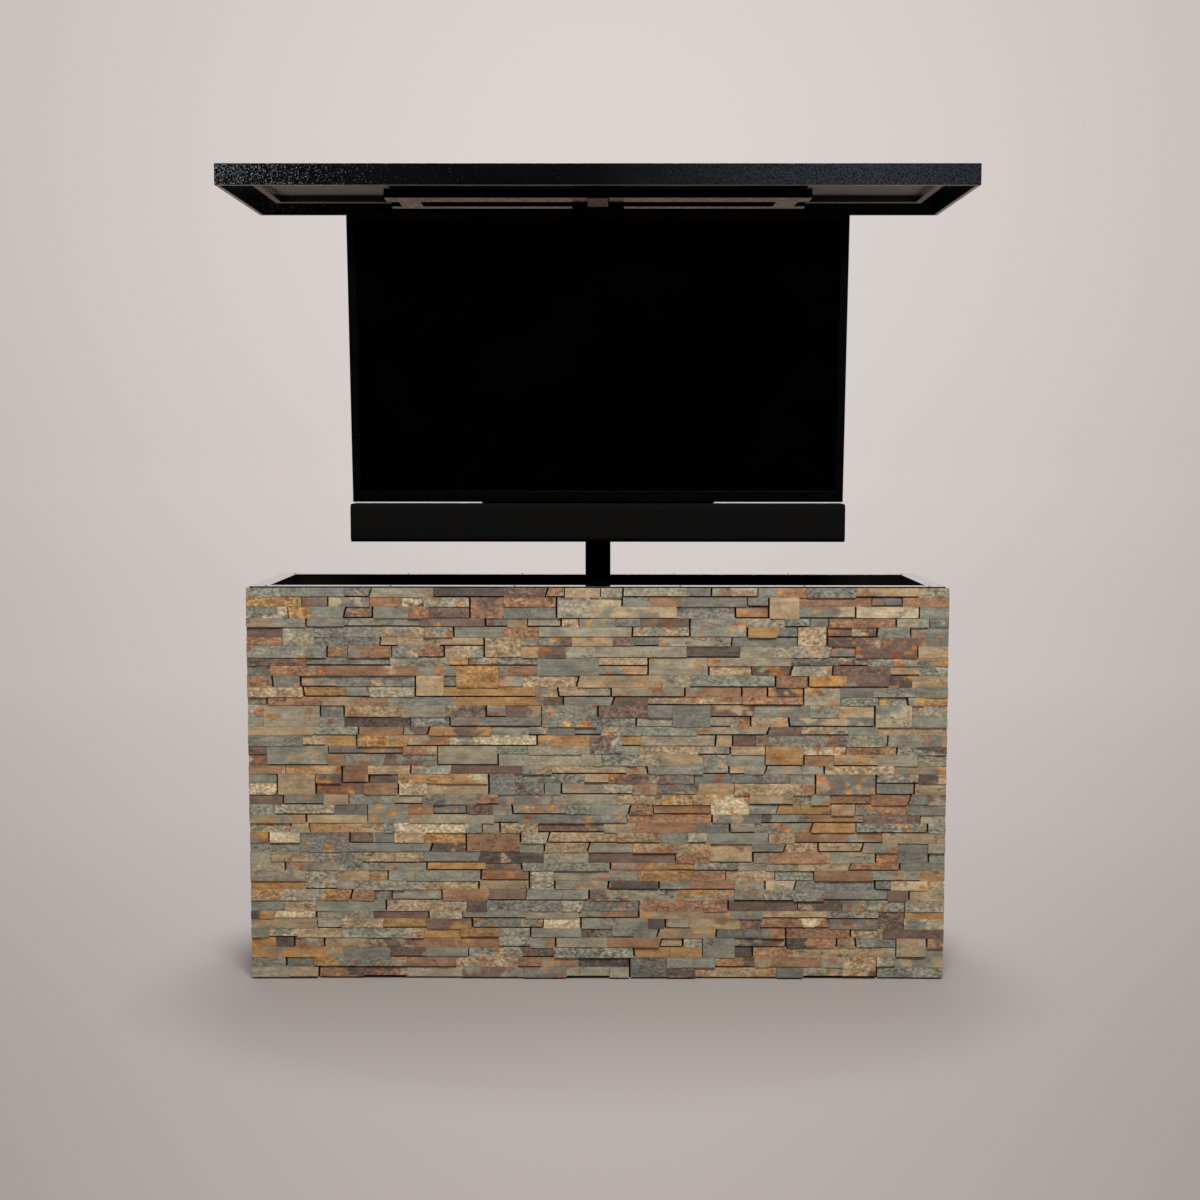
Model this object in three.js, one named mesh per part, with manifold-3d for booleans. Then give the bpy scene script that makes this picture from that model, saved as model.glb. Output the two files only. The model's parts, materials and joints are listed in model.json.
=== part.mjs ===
// A television lift cabinet: a box clad in stacked ledger stone, a three-stage lifting column inside it,
// and a carriage that holds the lid, a television and a soundbar. It is drawn raised.
// Millimetres, +Z up, the front faces -Y, the origin is the middle of the footprint on the ground.

import * as THREE from "three";
import { mergeVertices } from "three/addons/utils/BufferGeometryUtils.js";
import Module from "manifold-3d";

const wasm = await Module();
wasm.setup();

// Cabinet
const cabinetWidth = 1690;
const cabinetDepth = 450;
const cabinetHeight = 964;
const groundGap = 4;
const stoneThickness = 20;
const boardThickness = 18;
const courseHeight = 24;
const shortStone = 180;
const longStone = 460;
const stoneStep = 2.2;
const stoneJoint = 0.5;
const rimReveal = 9;
const rimWidth = 41;
const rimSheet = 3;
const rimLeg = 30;
const floorLift = 12;
const postLeg = 50;
const postSheet = 4;
const footPadRadius = 26;
const footPadHeight = 6;
const footStemRadius = 6;
const footStemHeight = 52;
const footInset = 42;

// Service door in the back
const doorWidth = 620;
const doorHeight = 520;
const doorSill = 210;
const doorSheet = 2.5;
const doorFold = 14;
const doorFrameFace = 25;
const doorFrameProud = 3;
const louvreCount = 9;
const louvreLength = 420;
const louvreHeight = 9;
const louvrePitch = 34;
const louvreHood = 7;
const hingePinRadius = 4;
const hingeBarrelRadius = 7;
const hingeBarrelLength = 60;
const latchRadius = 16;
const latchLength = 44;
const latchGrip = 12;
const latchStemRadius = 6;

// Cable gland in the back
const glandRadius = 15;
const glandFlange = 22;
const glandProud = 6;
const glandInset = 285;
const glandZ = 120;

// Lift
const liftTravel = 964;
const columnY = 95;
const outerTube = 72;
const middleTube = 64;
const innerTube = 56;
const tubeWall = 3;
const tubeCorner = 6;
const collarWall = 3;
const collarHeight = 26;
const basePlateWidth = 420;
const basePlateDepth = 120;
const basePlateSheet = 8;
const gearboxWidth = 110;
const gearboxHeight = 60;
const motorRadius = 29;
const motorLength = 150;
const stageStep = 10;
const spindleRadius = 7;
const hollowSpindleRadius = 12;
const hollowSpindleBore = 9;
const spindleSlack = 0.6;
const nutHeight = 26;
const blockHeight = 42;
const controlWidth = 190;
const controlDepth = 90;
const controlHeight = 62;
const controlX = -330;

// Carriage and lid
const lidOverhang = 46;
const lidHeight = 50;
const lidSheet = 2.5;
const lidHem = 10;
const ringDrop = 24.5;
const ringReveal = 7;
const ringWidth = 16;
const sealThickness = 2;
const linerThickness = 5;
const lidAngleHeight = 17;
const lidAngleSheet = 3;
const lidAngleLeg = 22;
const lidAngleLength = 285;
const lidAngleX = 60;
const frameLength = 1050;
const frameHeight = 23;
const frameFront = -50;
const frontBarWidth = 75;
const rearBarWidth = 40;
const frameDepth = 198;
const armWidth = 54;
const armInset = 55;
const headPlateWidth = 130;
const headPlateSheet = 7;
const hangerWidth = 180;
const hangerSheet = 4;
const hangerY = 50;
const hangerLength = 650;
const hangerNeckWidth = 56;
const hangerNeckLength = 120;

// Television
const tvWidth = 1228;
const tvHeight = 710.8;
const tvTilt = THREE.MathUtils.degToRad(5);
const tvHeadroom = 30.5;
const tvPivotY = 20;
const tvFront = 64.4;
const bezelDepth = 12;
const bezelFace = 20;
const bezelFoot = 28;
const screenRecess = 2;
const screenThickness = 7;
const backThickness = 14;
const bulgeWidth = 840;
const bulgeTop = 210;
const bulgeFoot = 225;
const bulgeDepth = 26;
const bulgeChamfer = 14;
const ventCount = 11;
const ventHeight = 26;
const ventDepth = 3;
const railX = 200;
const railWidth = 34;
const railHeight = 300;
const railSheet = 3;
const railDepth = 14;
const shaftRadius = 6;
const shaftLength = 450;
const cheekX = 78;
const cheekSheet = 5;
const cheekHeight = 90;

// Soundbar
const soundbarLength = 1225;
const soundbarHeight = 94;
const soundbarDepth = 98;
const soundbarFront = -72;
const soundbarGap = 7.7;
const soundbarCorner = 14;
const grilleWrap = 30;
const grilleSheet = 1.5;
const webWidth = 590;
const webSheet = 3.7;
const webHeight = 250;
const webDrop = 76;
const standoffX = 230;
const standoffWidth = 50;

// Clearances, and how far a cutter runs past what it cuts
const fit = 0.3;
const slide = 1;
const closedGap = 0.5;
const overrun = 5;

// Round work: sides of a small and of a large circle, and the steps of a round corner
const smallSides = 16;
const largeSides = 32;
const tubeCornerSteps = 3;
const soundbarCornerSteps = 6;

// Where the random run of stones starts on each wall
const stoneRuns = { front: 7, rear: 19, right: 31, left: 43 };

// Places worked out from the sizes above
const half = 1 / 2;
const halfWidth = cabinetWidth * half;
const halfDepth = cabinetDepth * half;
const boardX = halfWidth - stoneThickness - fit;
const boardY = halfDepth - stoneThickness - fit;
const innerX = boardX - boardThickness;
const innerY = boardY - boardThickness;
const rimUnder = cabinetHeight - rimSheet;
const wallTop = rimUnder - fit;
const floorTop = groundGap + floorLift + boardThickness;
const basePlateTop = floorTop + fit + basePlateSheet;
const glandX = halfWidth - glandInset;
const armX = frameLength * half - armInset;

const sealBottom = cabinetHeight + closedGap + liftTravel;
const lidBottom = sealBottom - ringDrop;
const lidTop = lidBottom + lidHeight;
const lidX = halfWidth + lidOverhang;
const lidY = halfDepth + lidOverhang;
const linerTop = lidTop - lidSheet - fit;
const linerBottom = linerTop - linerThickness;
const ringTop = linerBottom - fit;
const ringBottom = sealBottom + sealThickness + fit;
const frameTop = linerBottom - fit - lidAngleHeight - fit;
const frameBottom = frameTop - frameHeight;
const headTop = frameBottom - fit;
const headBottom = headTop - headPlateSheet;

const middleTravel = liftTravel * half;
const closedHead = headBottom - liftTravel;
const collarTop = closedHead - stageStep;
const outerTop = collarTop - collarWall;
const middleFoot = basePlateTop + stageStep;
const middleTop = closedHead - stageStep * half;
const innerTop = headBottom - fit;

const pivotZ = frameBottom - tvHeadroom - tvHeight * half;
const soundbarTop = pivotZ - tvHeight * half - soundbarGap;
const soundbarBottom = soundbarTop - soundbarHeight;

const cabinet = new THREE.Group();

// Materials
function finish(color, roughness, metalness) {
  return new THREE.MeshStandardMaterial({ color, roughness, metalness });
}

const ledgerStone = finish(0x83725e, 0.9, 0);
const blackPowderCoat = finish(0x151516, 0.5, 0.2);
const blackBoard = finish(0x1b1a19, 0.8, 0);
const steelPlate = finish(0x2a2b2d, 0.45, 0.8);
const groundSteel = finish(0xb8bcc0, 0.3, 1);
const bronze = finish(0x9a6b33, 0.45, 0.9);
const moulded = finish(0x121212, 0.6, 0);
const glossGlass = finish(0x050506, 0.1, 0);
const sealRubber = finish(0x0c0c0c, 0.9, 0);
const linerBoard = finish(0xb9b2ab, 0.7, 0);
const grilleCloth = finish(0x14110f, 0.85, 0);

// Solids and meshes
function solidOf(geometry) {
  const bare = geometry.clone();
  bare.deleteAttribute("normal");
  bare.deleteAttribute("uv");
  const merged = mergeVertices(bare);
  return new wasm.Manifold(
    new wasm.Mesh({
      numProp: 3,
      vertProperties: new Float32Array(merged.attributes.position.array),
      triVerts: new Uint32Array(merged.index.array),
    }),
  );
}

function geometryOf(solid) {
  const { vertProperties, triVerts } = solid.getMesh();
  const geometry = new THREE.BufferGeometry();
  geometry.setAttribute("position", new THREE.BufferAttribute(vertProperties, 3));
  geometry.setIndex(new THREE.BufferAttribute(triVerts, 1));
  const faceted = geometry.toNonIndexed();
  faceted.computeVertexNormals();
  return faceted;
}

function piece(name, solid, material, parent = cabinet) {
  const mesh = new THREE.Mesh(geometryOf(solid), material);
  mesh.name = name;
  parent.add(mesh);
  return mesh;
}

// A block from its lowest to its highest corner.
function block(x0, x1, y0, y1, z0, z1) {
  const box = new THREE.BoxGeometry(x1 - x0, y1 - y0, z1 - z0);
  return solidOf(box.translate((x0 + x1) * half, (y0 + y1) * half, (z0 + z1) * half));
}

// A block of full width `width` about x, from y0 to y1 and z0 to z1.
function slab(x, width, y0, y1, z0, z1) {
  return block(x - width * half, x + width * half, y0, y1, z0, z1);
}

// A straight extrusion of a shape drawn in X and Y, from z0 to z1.
function column(shape, z0, z1) {
  const geometry = new THREE.ExtrudeGeometry(shape, {
    depth: z1 - z0,
    bevelEnabled: false,
    curveSegments: tubeCornerSteps,
  });
  return solidOf(geometry.translate(0, 0, z0));
}

// An extrusion along X of an outline given as [y, z] pairs, from x0 to x1.
function profileAlongX(points, x0, x1) {
  const shape = new THREE.Shape(points.map(([y, z]) => new THREE.Vector2(y, z)));
  const geometry = new THREE.ExtrudeGeometry(shape, { depth: x1 - x0, bevelEnabled: false });
  const turn = new THREE.Matrix4().makeBasis(
    new THREE.Vector3(0, 1, 0),
    new THREE.Vector3(0, 0, 1),
    new THREE.Vector3(1, 0, 0),
  );
  return solidOf(geometry.applyMatrix4(turn).translate(x0, 0, 0));
}

// A round bar from z0 to z1 about a vertical line.
function rod(x, y, radius, z0, z1, sides = smallSides) {
  const bar = new THREE.CylinderGeometry(radius, radius, z1 - z0, sides);
  return solidOf(bar.rotateX(Math.PI * half).translate(x, y, (z0 + z1) * half));
}

// A round bar along X or along Y, from its start to its end.
function rodAlongX(y, z, radius, x0, x1, sides = smallSides) {
  const bar = new THREE.CylinderGeometry(radius, radius, x1 - x0, sides);
  return solidOf(bar.rotateZ(Math.PI * half).translate((x0 + x1) * half, y, z));
}

function rodAlongY(x, z, radius, y0, y1, sides = smallSides) {
  const bar = new THREE.CylinderGeometry(radius, radius, y1 - y0, sides);
  return solidOf(bar.translate(x, (y0 + y1) * half, z));
}

// A square outline with round corners, centred on x and y.
function roundedSquare(Type, x, y, side, corner) {
  const reach = side * half;
  const flat = reach - corner;
  const outline = new Type();
  outline.moveTo(x - flat, y - reach);
  outline.lineTo(x + flat, y - reach);
  outline.absarc(x + flat, y - flat, corner, -Math.PI * half, 0);
  outline.lineTo(x + reach, y + flat);
  outline.absarc(x + flat, y + flat, corner, 0, Math.PI * half);
  outline.lineTo(x - flat, y + reach);
  outline.absarc(x - flat, y + flat, corner, Math.PI * half, Math.PI);
  outline.lineTo(x - reach, y - flat);
  outline.absarc(x - flat, y - flat, corner, Math.PI, Math.PI + Math.PI * half);
  return outline;
}

// A square bar with round corners about the column's centre line, and a square tube.
function squareBar(side, corner, z0, z1) {
  return column(roundedSquare(THREE.Shape, 0, columnY, side, corner), z0, z1);
}

function squareTube(side, wall, z0, z1) {
  const outline = roundedSquare(THREE.Shape, 0, columnY, side, tubeCorner);
  outline.holes.push(roundedSquare(THREE.Path, 0, columnY, side - wall - wall, tubeCorner - wall * half));
  return column(outline, z0, z1);
}

// A frame with an open middle: the outer block less the inner one.
function openFrame(outerX, outerY, innerXs, innerYs, z0, z1) {
  const outer = block(-outerX, outerX, -outerY, outerY, z0, z1);
  return outer.subtract(block(-innerXs, innerXs, -innerYs, innerYs, z0 - overrun, z1 + overrun));
}

// Floor panel: it stands on the four feet and carries the walls, the lift and the control box.
function floorPanel() {
  const panelX = innerX - fit;
  const panelY = innerY - fit;
  let panel = block(-panelX, panelX, -panelY, panelY, groundGap + floorLift, floorTop);
  for (const [x, y] of footPlaces()) {
    panel = panel.subtract(rod(x, y, footStemRadius + fit, 0, floorTop + overrun));
  }
  piece("floor_panel", panel, blackBoard);
}

// Carcass panels: the front and back run the full width, the sides fit between them.
function carcassPanels() {
  const foot = groundGap + fit;
  piece("carcass_front", block(-boardX, boardX, -boardY, -innerY, foot, wallTop), blackBoard);
  const rear = block(-boardX, boardX, innerY, boardY, foot, wallTop)
    .subtract(doorHole())
    .subtract(rodAlongY(glandX, glandZ, glandRadius + fit, innerY - overrun, boardY + overrun));
  piece("carcass_rear", rear, blackBoard);
  for (const [side, name] of [[-1, "carcass_left"], [1, "carcass_right"]]) {
    const inside = side * innerX;
    const outside = side * boardX;
    const panel = block(
      Math.min(inside, outside),
      Math.max(inside, outside),
      -innerY + fit,
      innerY - fit,
      foot,
      wallTop,
    );
    piece(name, panel, blackBoard);
  }
}

// Corner posts: steel angle in each inner corner, from the floor panel to the rim.
function cornerPosts() {
  for (const [sideX, nameX] of [[-1, "left"], [1, "right"]]) {
    for (const [sideY, nameY] of [[-1, "front"], [1, "rear"]]) {
      const cornerX = sideX * (innerX - fit);
      const cornerY = sideY * (innerY - fit - fit);
      const outline = new THREE.Shape([
        new THREE.Vector2(cornerX, cornerY),
        new THREE.Vector2(cornerX - sideX * postLeg, cornerY),
        new THREE.Vector2(cornerX - sideX * postLeg, cornerY - sideY * postSheet),
        new THREE.Vector2(cornerX - sideX * postSheet, cornerY - sideY * postSheet),
        new THREE.Vector2(cornerX - sideX * postSheet, cornerY - sideY * postLeg),
        new THREE.Vector2(cornerX, cornerY - sideY * postLeg),
      ]);
      piece(`corner_post_${nameY}_${nameX}`, column(outline, floorTop + fit, wallTop), steelPlate);
    }
  }
}

// Rim rails: a folded cap on each wall, with a leg down the inside, mitred at the corners.
function rimRails() {
  const outerX = halfWidth - rimReveal;
  const outerY = halfDepth - rimReveal;
  const openX = outerX - rimWidth;
  const openY = outerY - rimWidth;
  const cap = openFrame(outerX, outerY, openX, openY, rimUnder, cabinetHeight);
  const legFoot = cabinetHeight - rimLeg;
  const leg = openFrame(openX + rimSheet, openY + rimSheet, openX, openY, legFoot, cabinetHeight);
  const rim = cap.add(leg);
  // Each quarter of the rim lies inside the wedge that the two mitre planes bound.
  const meet = outerX - outerY;
  const farX = outerX + overrun;
  const farY = outerY + overrun;
  const wedges = {
    rim_front: [[-meet + fit, 0], [-farX + fit, -farY], [farX - fit, -farY], [meet - fit, 0]],
    rim_rear: [[meet - fit, 0], [farX - fit, farY], [-farX + fit, farY], [-meet + fit, 0]],
    rim_right: [[meet + fit, 0], [farX + fit, -farY], [farX + fit, farY]],
    rim_left: [[-meet - fit, 0], [-farX - fit, farY], [-farX - fit, -farY]],
  };
  for (const [name, points] of Object.entries(wedges)) {
    const outline = new THREE.Shape(points.map(([x, y]) => new THREE.Vector2(x, y)));
    const wedge = column(outline, cabinetHeight - rimLeg - overrun, cabinetHeight + overrun);
    piece(name, rim.intersect(wedge), blackPowderCoat);
  }
}

// Stacked ledger stone: courses of equal height, each a row of stones of random length that stand
// back by none, one or two steps, each with an open joint round it. Neighbours that stand alike
// read as one longer stone.

// A repeatable run of shares between nought and one.
function shareStream(seed) {
  const modulus = 2 ** 31 - 1;
  const multiplier = 48271;
  let state = seed;
  return () => {
    state = (state * multiplier) % modulus;
    return state / modulus;
  };
}

// A panel lying along X from -length / 2, standing on z0, with its back at y = 0 and its face at -thickness.
function ledgerPanel(length, z0, z1, seed) {
  const next = shareStream(seed);
  const flushShare = 0.4;
  const oneStepShare = 0.75;
  const courses = Math.round((z1 - z0) / courseHeight);
  const rise = (z1 - z0) / courses;
  const face = -stoneThickness;
  let panel = block(-length * half, length * half, face, 0, z0, z1);
  for (let course = 0; course < courses; course++) {
    const low = course === 0 ? z0 - overrun : z0 + course * rise - stoneJoint;
    const high = course === courses - 1 ? z1 + overrun : z0 + (course + 1) * rise + stoneJoint;
    let start = -length * half - overrun;
    while (start < length * half) {
      const stone = shortStone + (longStone - shortStone) * next();
      const pick = next();
      const steps = pick < flushShare ? 0 : pick < oneStepShare ? 1 : 2;
      const last = start + stone > length * half - shortStone;
      const end = last ? length * half + overrun : start + stone;
      if (steps > 0) {
        const depth = face + steps * stoneStep;
        panel = panel.subtract(block(start - stoneJoint, end + stoneJoint, face - overrun, depth, low, high));
      }
      start = end;
    }
  }
  return panel;
}

// Cladding: the front and back panels run over the ends of the side panels.
function cladding() {
  const top = wallTop;
  const sideLength = boardY + boardY - fit - fit;
  const front = ledgerPanel(cabinetWidth, groundGap, top, stoneRuns.front);
  piece("cladding_front", front.translate([0, -halfDepth + stoneThickness, 0]), ledgerStone);
  const rear = ledgerPanel(cabinetWidth, groundGap, top, stoneRuns.rear)
    .rotate([0, 0, 180])
    .translate([0, halfDepth - stoneThickness, 0])
    .subtract(doorHole())
    .subtract(rodAlongY(glandX, glandZ, glandRadius + fit, innerY, halfDepth + overrun));
  piece("cladding_rear", rear, ledgerStone);
  const right = ledgerPanel(sideLength, groundGap, top, stoneRuns.right).rotate([0, 0, 90]);
  piece("cladding_right", right.translate([halfWidth - stoneThickness, 0, 0]), ledgerStone);
  const left = ledgerPanel(sideLength, groundGap, top, stoneRuns.left).rotate([0, 0, -90]);
  piece("cladding_left", left.translate([-halfWidth + stoneThickness, 0, 0]), ledgerStone);
}

// Levelling feet: a pad and a stem that screws down out of the floor panel.
function footPlaces() {
  const x = innerX - postLeg - footInset;
  const y = innerY - footInset;
  return [[-x, -y], [x, -y], [-x, y], [x, y]];
}

function levellingFeet() {
  const names = ["foot_front_left", "foot_front_right", "foot_rear_left", "foot_rear_right"];
  footPlaces().forEach(([x, y], i) => {
    const pad = rod(x, y, footPadRadius, 0, footPadHeight, largeSides);
    piece(names[i], pad.add(rod(x, y, footStemRadius, 0, footPadHeight + footStemHeight)), steelPlate);
  });
}

// The hole for the service door, through the board and the stone.
function doorHole() {
  const reachX = doorWidth * half + fit;
  return block(
    -reachX,
    reachX,
    innerY - overrun,
    halfDepth + overrun,
    doorSill - fit,
    doorSill + doorHeight + fit,
  );
}

// Door frame: a steel surround through the wall, with the hinge barrels on its left edge seen from the front.
function doorFrame() {
  const outer = doorWidth * half;
  const inner = outer - doorFrameFace;
  const back = halfDepth + doorFrameProud;
  const top = doorSill + doorHeight;
  let frame = block(-outer, outer, innerY, back, doorSill, top);
  frame = frame.subtract(
    block(-inner, inner, innerY - overrun, back + overrun, doorSill + doorFrameFace, top - doorFrameFace),
  );
  const earY = back - doorFrameProud;
  for (const z of hingeHeights()) {
    const high = z + hingeBarrelLength * half;
    const barrel = rod(hingeX(), hingeY(), hingeBarrelRadius, z, high);
    const ear = block(hingeX(), -outer + doorFrameFace * half, earY, back, z, high);
    const web = block(hingeX(), hingeX() + hingeBarrelRadius, earY, hingeY(), z, high);
    const pin = rod(hingeX(), hingeY(), hingePinRadius, z, z + hingeBarrelLength - fit);
    frame = frame.add(barrel).add(ear).add(web).add(pin);
  }
  piece("door_frame", frame, blackPowderCoat);
}

function hingeX() {
  return -doorWidth * half - hingeBarrelRadius - slide;
}

function hingeY() {
  return halfDepth + doorFrameProud + fit + hingeBarrelRadius;
}

function hingeHeights() {
  const margin = hingeBarrelLength;
  return [doorSill + margin, doorSill + doorHeight - margin - hingeBarrelLength];
}

// Service door: a folded sheet pan with pressed louvres, hung on two lift-off hinges.
function serviceDoor() {
  const outer = doorWidth * half;
  const y0 = halfDepth + doorFrameProud + fit;
  const y1 = y0 + doorFold;
  const top = doorSill + doorHeight;
  let door = block(-outer, outer, y0, y1, doorSill, top);
  const pocket = block(
    -outer + doorSheet,
    outer - doorSheet,
    y0 - overrun,
    y1 - doorSheet,
    doorSill + doorSheet,
    top - doorSheet,
  );
  door = door.subtract(pocket);
  const first = doorSill + (doorHeight - (louvreCount - 1) * louvrePitch) * half;
  for (let i = 0; i < louvreCount; i++) {
    const z = first + i * louvrePitch;
    door = door.subtract(slab(0, louvreLength, y1 - doorSheet - overrun, y1 + overrun, z, z + louvreHeight));
    const hood = [
      [y1 - doorSheet, z + louvreHeight + doorSheet],
      [y1 - doorSheet, z + louvreHeight],
      [y1 + louvreHood - doorSheet, z],
      [y1 + louvreHood, z],
      [y1 + louvreHood, z + doorSheet],
      [y1, z + louvreHeight + doorSheet],
    ];
    door = door.add(profileAlongX(hood, -louvreLength * half, louvreLength * half));
  }
  for (const z of hingeHeights()) {
    const low = z + hingeBarrelLength * half + fit;
    const high = z + hingeBarrelLength;
    const barrel = rod(hingeX(), hingeY(), hingeBarrelRadius, low, high)
      .add(block(hingeX(), -outer + doorSheet, y1 - doorSheet, y1, low, high))
      .subtract(rod(hingeX(), hingeY(), hingePinRadius + fit, low - overrun, high + overrun));
    door = door.add(barrel);
  }
  const holeStart = y1 - doorSheet - overrun;
  const keyhole = rodAlongY(latchX(), latchZ(), latchStemRadius + fit, holeStart, y1 + overrun);
  piece("service_door", door.subtract(keyhole), blackPowderCoat);
}

function latchX() {
  return doorWidth * half - doorFrameFace - latchRadius;
}

function latchZ() {
  return doorSill + doorHeight * half;
}

// Door latch: a turn knob outside and a cam inside, drawn unlocked. A quarter turn puts the cam behind
// the frame.
function doorLatch() {
  const skin = halfDepth + doorFrameProud + fit + doorFold;
  const camBack = innerY - fit;
  const knob = rodAlongY(latchX(), latchZ(), latchRadius, skin + fit, skin + latchGrip, largeSides);
  const grip = slab(
    latchX(),
    latchGrip * half,
    skin + fit,
    skin + latchGrip + latchGrip,
    latchZ() - latchRadius,
    latchZ() + latchRadius,
  );
  const stem = rodAlongY(latchX(), latchZ(), latchStemRadius, camBack - doorSheet, skin + latchGrip);
  const cam = block(
    latchX() - latchGrip,
    latchX() + latchGrip,
    camBack - doorSheet,
    camBack,
    latchZ() - latchGrip,
    latchZ() + latchLength,
  );
  piece("door_latch", knob.add(grip).add(stem).add(cam), steelPlate);
}

// Cable gland: a threaded body through the wall with a flange outside and an open bore.
function cableGland() {
  const back = halfDepth + glandProud;
  const body = rodAlongY(glandX, glandZ, glandRadius, innerY, back);
  const flange = rodAlongY(glandX, glandZ, glandFlange, halfDepth + fit, back, largeSides);
  const bore = rodAlongY(glandX, glandZ, glandRadius * half, innerY - overrun, back + overrun);
  piece("cable_gland", body.add(flange).subtract(bore), moulded);
}

// Lift base plate: bolted to the floor panel, it carries the outer tube and the gearbox.
function liftBasePlate() {
  const y0 = columnY - basePlateDepth * half;
  const y1 = y0 + basePlateDepth;
  const x0 = -outerTube;
  piece("lift_base_plate", block(x0, x0 + basePlateWidth, y0, y1, floorTop + fit, basePlateTop), steelPlate);
}

// Gearbox: a worm housing beside the foot of the column, round the lower spindle's drive.
function gearbox() {
  const x0 = outerTube * half + fit;
  const z0 = basePlateTop + fit;
  const y0 = columnY - outerTube * half;
  const body = block(x0, x0 + gearboxWidth, y0, y0 + outerTube, z0, z0 + gearboxHeight);
  const bossTop = z0 + gearboxHeight + stageStep;
  const boss = rod(x0 + gearboxWidth * half, columnY, motorRadius, z0, bossTop, largeSides);
  const noseEnd = x0 + gearboxWidth + stageStep;
  const nose = rodAlongX(columnY, motorZ(), motorRadius * half, x0, noseEnd, largeSides);
  piece("gearbox", body.add(boss).add(nose), steelPlate);
}

function motorZ() {
  return basePlateTop + fit + motorRadius + fit;
}

// Gear motor: a turned can with a stepped end bell, along X from the gearbox.
function gearMotor() {
  const x0 = outerTube * half + fit + gearboxWidth + fit;
  const bell = motorRadius - stageStep * half;
  const profile = [
    [motorRadius * half + fit, 0],
    [motorRadius, 0],
    [motorRadius, motorLength - stageStep - stageStep],
    [bell, motorLength - stageStep],
    [bell, motorLength],
    [0, motorLength],
    [0, stageStep + fit],
    [motorRadius * half + fit, stageStep + fit],
    [motorRadius * half + fit, 0],
  ];
  const can = new THREE.LatheGeometry(profile.map(([r, x]) => new THREE.Vector2(r, x)), largeSides);
  const solid = solidOf(can.rotateZ(-Math.PI * half).translate(x0, columnY, motorZ()));
  const foot = block(
    x0 + stageStep,
    x0 + motorLength - stageStep,
    columnY - motorRadius * half,
    columnY + motorRadius * half,
    basePlateTop + fit,
    motorZ() - motorRadius * half,
  );
  piece("gear_motor", solid.add(foot), steelPlate);
}

// Control box: the electronics housing, screwed to the floor panel beside the lift.
function controlBox() {
  const z0 = floorTop + fit;
  const reach = controlDepth * half;
  const earReach = reach * half;
  const earWidth = controlWidth + stageStep + stageStep + stageStep;
  const body = slab(controlX, controlWidth, columnY - reach, columnY + reach, z0, z0 + controlHeight);
  const ears = slab(controlX, earWidth, columnY - earReach, columnY + earReach, z0, z0 + tubeWall);
  piece("control_box", body.add(ears), moulded);
}

// Column: three square tubes, one inside the other, each guided by a collar on the one outside it.
function columnTubes() {
  piece("column_outer", squareTube(outerTube, tubeWall, basePlateTop + fit, outerTop), blackPowderCoat);
  const lift = middleTravel;
  const middle = squareTube(middleTube, tubeWall, middleFoot + lift, middleTop + lift);
  piece("column_middle", middle, blackPowderCoat);
  const innerFoot = middleFoot + blockHeight + stageStep + liftTravel;
  piece("column_inner", squareTube(innerTube, tubeWall, innerFoot, innerTop), blackPowderCoat);
}

function columnCollars() {
  const collarSide = outerTube + collarWall + collarWall;
  const collarFoot = collarTop - collarHeight;
  const outerCollar = squareBar(collarSide, tubeCorner, collarFoot, collarTop)
    .subtract(squareBar(outerTube + fit + fit, tubeCorner, collarFoot - overrun, outerTop + fit))
    .subtract(squareBar(middleTube + slide, tubeCorner, outerTop, collarTop + overrun));
  piece("column_outer_collar", outerCollar, moulded);
  const foot = middleTop + middleTravel + fit;
  const innerCollar = squareBar(middleTube, tubeCorner, foot, foot + collarWall).subtract(
    squareBar(innerTube + slide, tubeCorner, foot - overrun, foot + collarWall + overrun),
  );
  piece("column_middle_collar", innerCollar, moulded);
}

// Spindles and nuts. The lower spindle turns in the base and drives the middle tube. It is keyed into the
// hollow upper spindle, which turns on the middle tube's block and drives the inner tube.
function spindles() {
  const lowerTop = outerTop - stageStep;
  piece("spindle_lower", rod(0, columnY, spindleRadius, basePlateTop + fit, lowerTop), groundSteel);

  const blockFoot = middleFoot + middleTravel;
  const blockSide = middleTube - tubeWall - tubeWall - fit - fit;
  const blockBore = spindleRadius + spindleSlack;
  const carrier = squareBar(blockSide, tubeCorner, blockFoot, blockFoot + blockHeight);
  piece(
    "lower_nut_block",
    carrier.subtract(rod(0, columnY, blockBore, blockFoot - overrun, blockFoot + blockHeight + overrun)),
    bronze,
  );

  const hollowFoot = blockFoot + blockHeight + fit;
  const hollowTop = middleTop + middleTravel - stageStep - stageStep;
  const hollow = rod(0, columnY, hollowSpindleRadius, hollowFoot, hollowTop).subtract(
    rod(0, columnY, hollowSpindleBore, hollowFoot - overrun, hollowTop + overrun),
  );
  piece("spindle_upper", hollow, groundSteel);

  const nutFoot = middleFoot + blockHeight + stageStep + liftTravel;
  const nutSide = innerTube - tubeWall - tubeWall - fit - fit;
  const nutBore = hollowSpindleRadius + spindleSlack;
  const nut = squareBar(nutSide, tubeCorner, nutFoot, nutFoot + nutHeight);
  const bore = rod(0, columnY, nutBore, nutFoot - overrun, nutFoot + nutHeight + overrun);
  piece("upper_nut", nut.subtract(bore), bronze);
}

// Head plate: closes the inner tube's top, carries the lid frame and hangs the plate for the television.
function headPlate() {
  const y1 = frameFront + frameDepth;
  piece("head_plate", slab(0, headPlateWidth, hangerY, y1, headBottom, headTop), steelPlate);
}

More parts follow.
